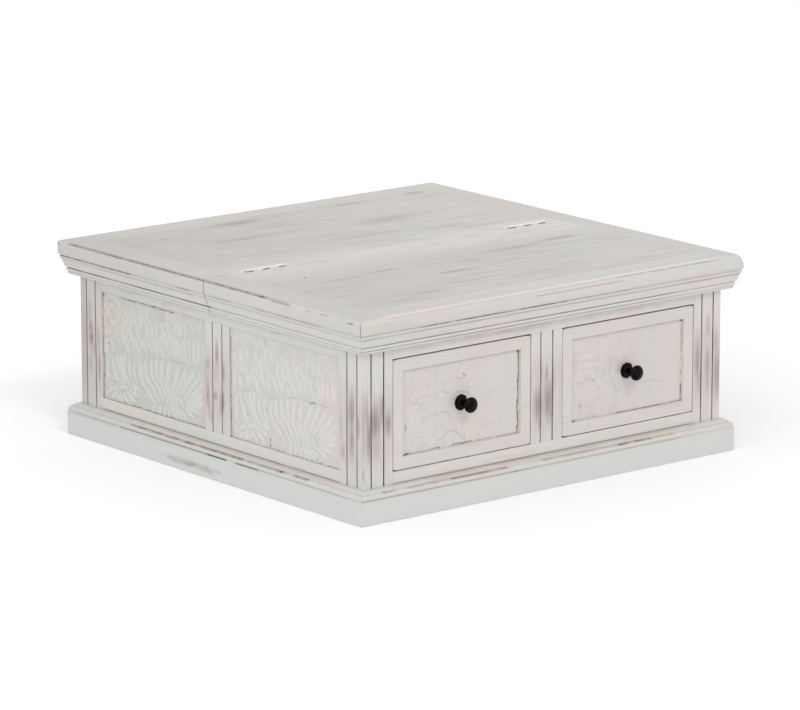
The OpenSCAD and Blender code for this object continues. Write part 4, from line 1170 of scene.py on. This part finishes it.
# Knobs and their plates
def lathe(name, profile, centre, body, node, petals=0):
    """A turned piece on the drawer front: profile is (forward, radius) from the panel's face.

    Petals press shallow waves into its rim.
    """
    segments, dent = 72, 0.35
    turn = np.linspace(0, 2 * math.pi, segments, endpoint=False)
    swell = np.cos(petals * turn)
    points = []
    for forward, radius in profile:
        wide = radius * (1 - dent / 15 * (0.5 - 0.5 * swell) * (radius > 6))
        out = forward + dent * swell * (petals > 0 and 7 < radius < 14.5)
        ring = (centre.x + wide * np.cos(turn), centre.y - out, centre.z + wide * np.sin(turn))
        points.append(np.stack(ring, 1))
    make_piece(name, np.concatenate(points), tube_faces(len(profile), segments), "iron", body, [node])


# The outlines of a knob and of its plate
KNOB = [(3.0, 6.4), (3.6, 5.6), (6, 5.2), (12, 5.2), (16.5, 5.6), (19.2, 6.6), (21.2, 8.4), (22.8, 10.6),
        (24.4, 12.6), (26.2, 13.9), (28.0, KNOB_R), (29.8, 13.9), (31.4, 12.6), (32.7, 10.6),
        (33.7, 8.1), (34.4, 5.3), (34.75, 2.6), (34.8, 0.3)]
PLATE = [(0, 13.8), (0.2, 14.6), (1.0, 14.7), (1.7, 14.2), (2.2, 13.0), (2.3, 11.4), (1.9, 10.2),
         (1.5, 9.4), (1.7, 8.6), (2.5, 8.0), (3.0, 7.2), (3.0, 5.6)]


# Floor, sky and lights
def backdrop():
    """A wide pale floor that looks white and keeps the table's shadow, under an even white sky."""
    reach = 60.0
    corners = [(-reach, -reach, 0), (reach, -reach, 0), (reach, reach, 0), (-reach, reach, 0)]
    mesh = bpy.data.meshes.new("floor")
    mesh.from_pydata(corners, [], [(0, 1, 2, 3)])
    floor = bpy.data.objects.new("floor", mesh)
    bpy.context.scene.collection.objects.link(floor)
    finish = Finish("floor", (0.975, 0.975, 0.975), roughness=1.0, specular=0.0)
    finish.over((0.985, 0.985, 0.985), finish.noise(400, 71))
    floor.data.materials.append(finish.done())
    world = bpy.data.worlds.new("studio")
    bpy.context.scene.world = world
    world.use_nodes = True
    tree = world.node_tree
    sky = tree.nodes["Background"]
    sky.inputs["Color"].default_value = (1, 1, 1, 1)
    path = tree.nodes.new("ShaderNodeLightPath")
    seen, glossy = (tree.nodes.new("ShaderNodeMath") for _ in range(2))
    seen.operation = glossy.operation = "MAXIMUM"
    tree.links.new(path.outputs["Is Camera Ray"], seen.inputs[0])
    tree.links.new(path.outputs["Is Glossy Ray"], glossy.inputs[0])
    tree.links.new(path.outputs["Is Transmission Ray"], glossy.inputs[1])
    tree.links.new(glossy.outputs[0], seen.inputs[1])
    level = tree.nodes.new("ShaderNodeMapRange")
    level.inputs["To Min"].default_value = SKY_LIGHT
    level.inputs["To Max"].default_value = 1.0
    tree.links.new(seen.outputs[0], level.inputs["Value"])
    tree.links.new(level.outputs[0], sky.inputs["Strength"])


def sun(name, towards, strength, spread):
    """A soft sun that shines from the direction given."""
    lamp = bpy.data.lights.new(name, "SUN")
    lamp.energy = strength * math.pi
    lamp.angle = math.radians(spread)
    holder = bpy.data.objects.new(name, lamp)
    holder.rotation_mode = "QUATERNION"
    holder.rotation_quaternion = Vector(towards).to_track_quat("Z", "Y")
    bpy.context.scene.collection.objects.link(holder)


# Pieces in place of CAD nodes
build_trim()
frame_ring("drawer_left")
frame_ring("drawer_right")
for place, seed in SIDE_PANELS.items():
    wall, half = place.split("_")
    relief_panel("carving_" + place, wall + "_panel_" + half, wall, "carcass", palmette_carving, seed,
                 SIDE_PITCH, FILL, LIFT)
relief_panel("carving_drawer_left", "drawer_left_panel", "front", "drawer_left", patchwork_carving, 61,
             DRAWER_PITCH)
relief_panel("carving_drawer_right", "drawer_right_panel", "front", "drawer_right", ribbed_carving, 71,
             DRAWER_PITCH)
for drawer in ("drawer_left", "drawer_right"):
    low, high = box(drawer + "_knob_plate")
    face = Vector(((low.x + high.x) / 2, high.y, (low.z + high.z) / 2))
    lathe(drawer + "_turned_knob", KNOB, face, drawer, drawer + "_knob")
    lathe(drawer + "_rosette", PLATE, face, drawer, drawer + "_knob_plate", petals=8)

SKY_LIGHT = 0.82
backdrop()
sun("key", (-0.16, -0.74, 0.65), 0.1, 11)
sun("key_soft", (-0.35, -0.75, 0.5), 0.18, 60)
sun("fill", (-0.85, -0.25, 0.45), 0.2, 60)

# The photo's camera, as its straight edges give it
AZIMUTH, ELEVATION = math.radians(-39.09), math.radians(13.04)
AIM, DISTANCE, LENS = Vector((0.4523, 0.5524, 0.0)), 10.1362, 228.6
away = Vector((math.sin(AZIMUTH) * math.cos(ELEVATION), -math.cos(AZIMUTH) * math.cos(ELEVATION),
               math.sin(ELEVATION)))
lens = bpy.data.cameras.new("camera")
lens.sensor_width, lens.lens = 36.0, LENS
lens.clip_start, lens.clip_end = 0.1, 100.0
camera = bpy.data.objects.new("camera", lens)
camera.location = AIM + away * DISTANCE
camera.rotation_mode = "QUATERNION"
camera.rotation_quaternion = away.to_track_quat("Z", "Y")
bpy.context.scene.collection.objects.link(camera)
bpy.context.scene.camera = camera
bpy.context.scene.view_settings.view_transform = "Standard"
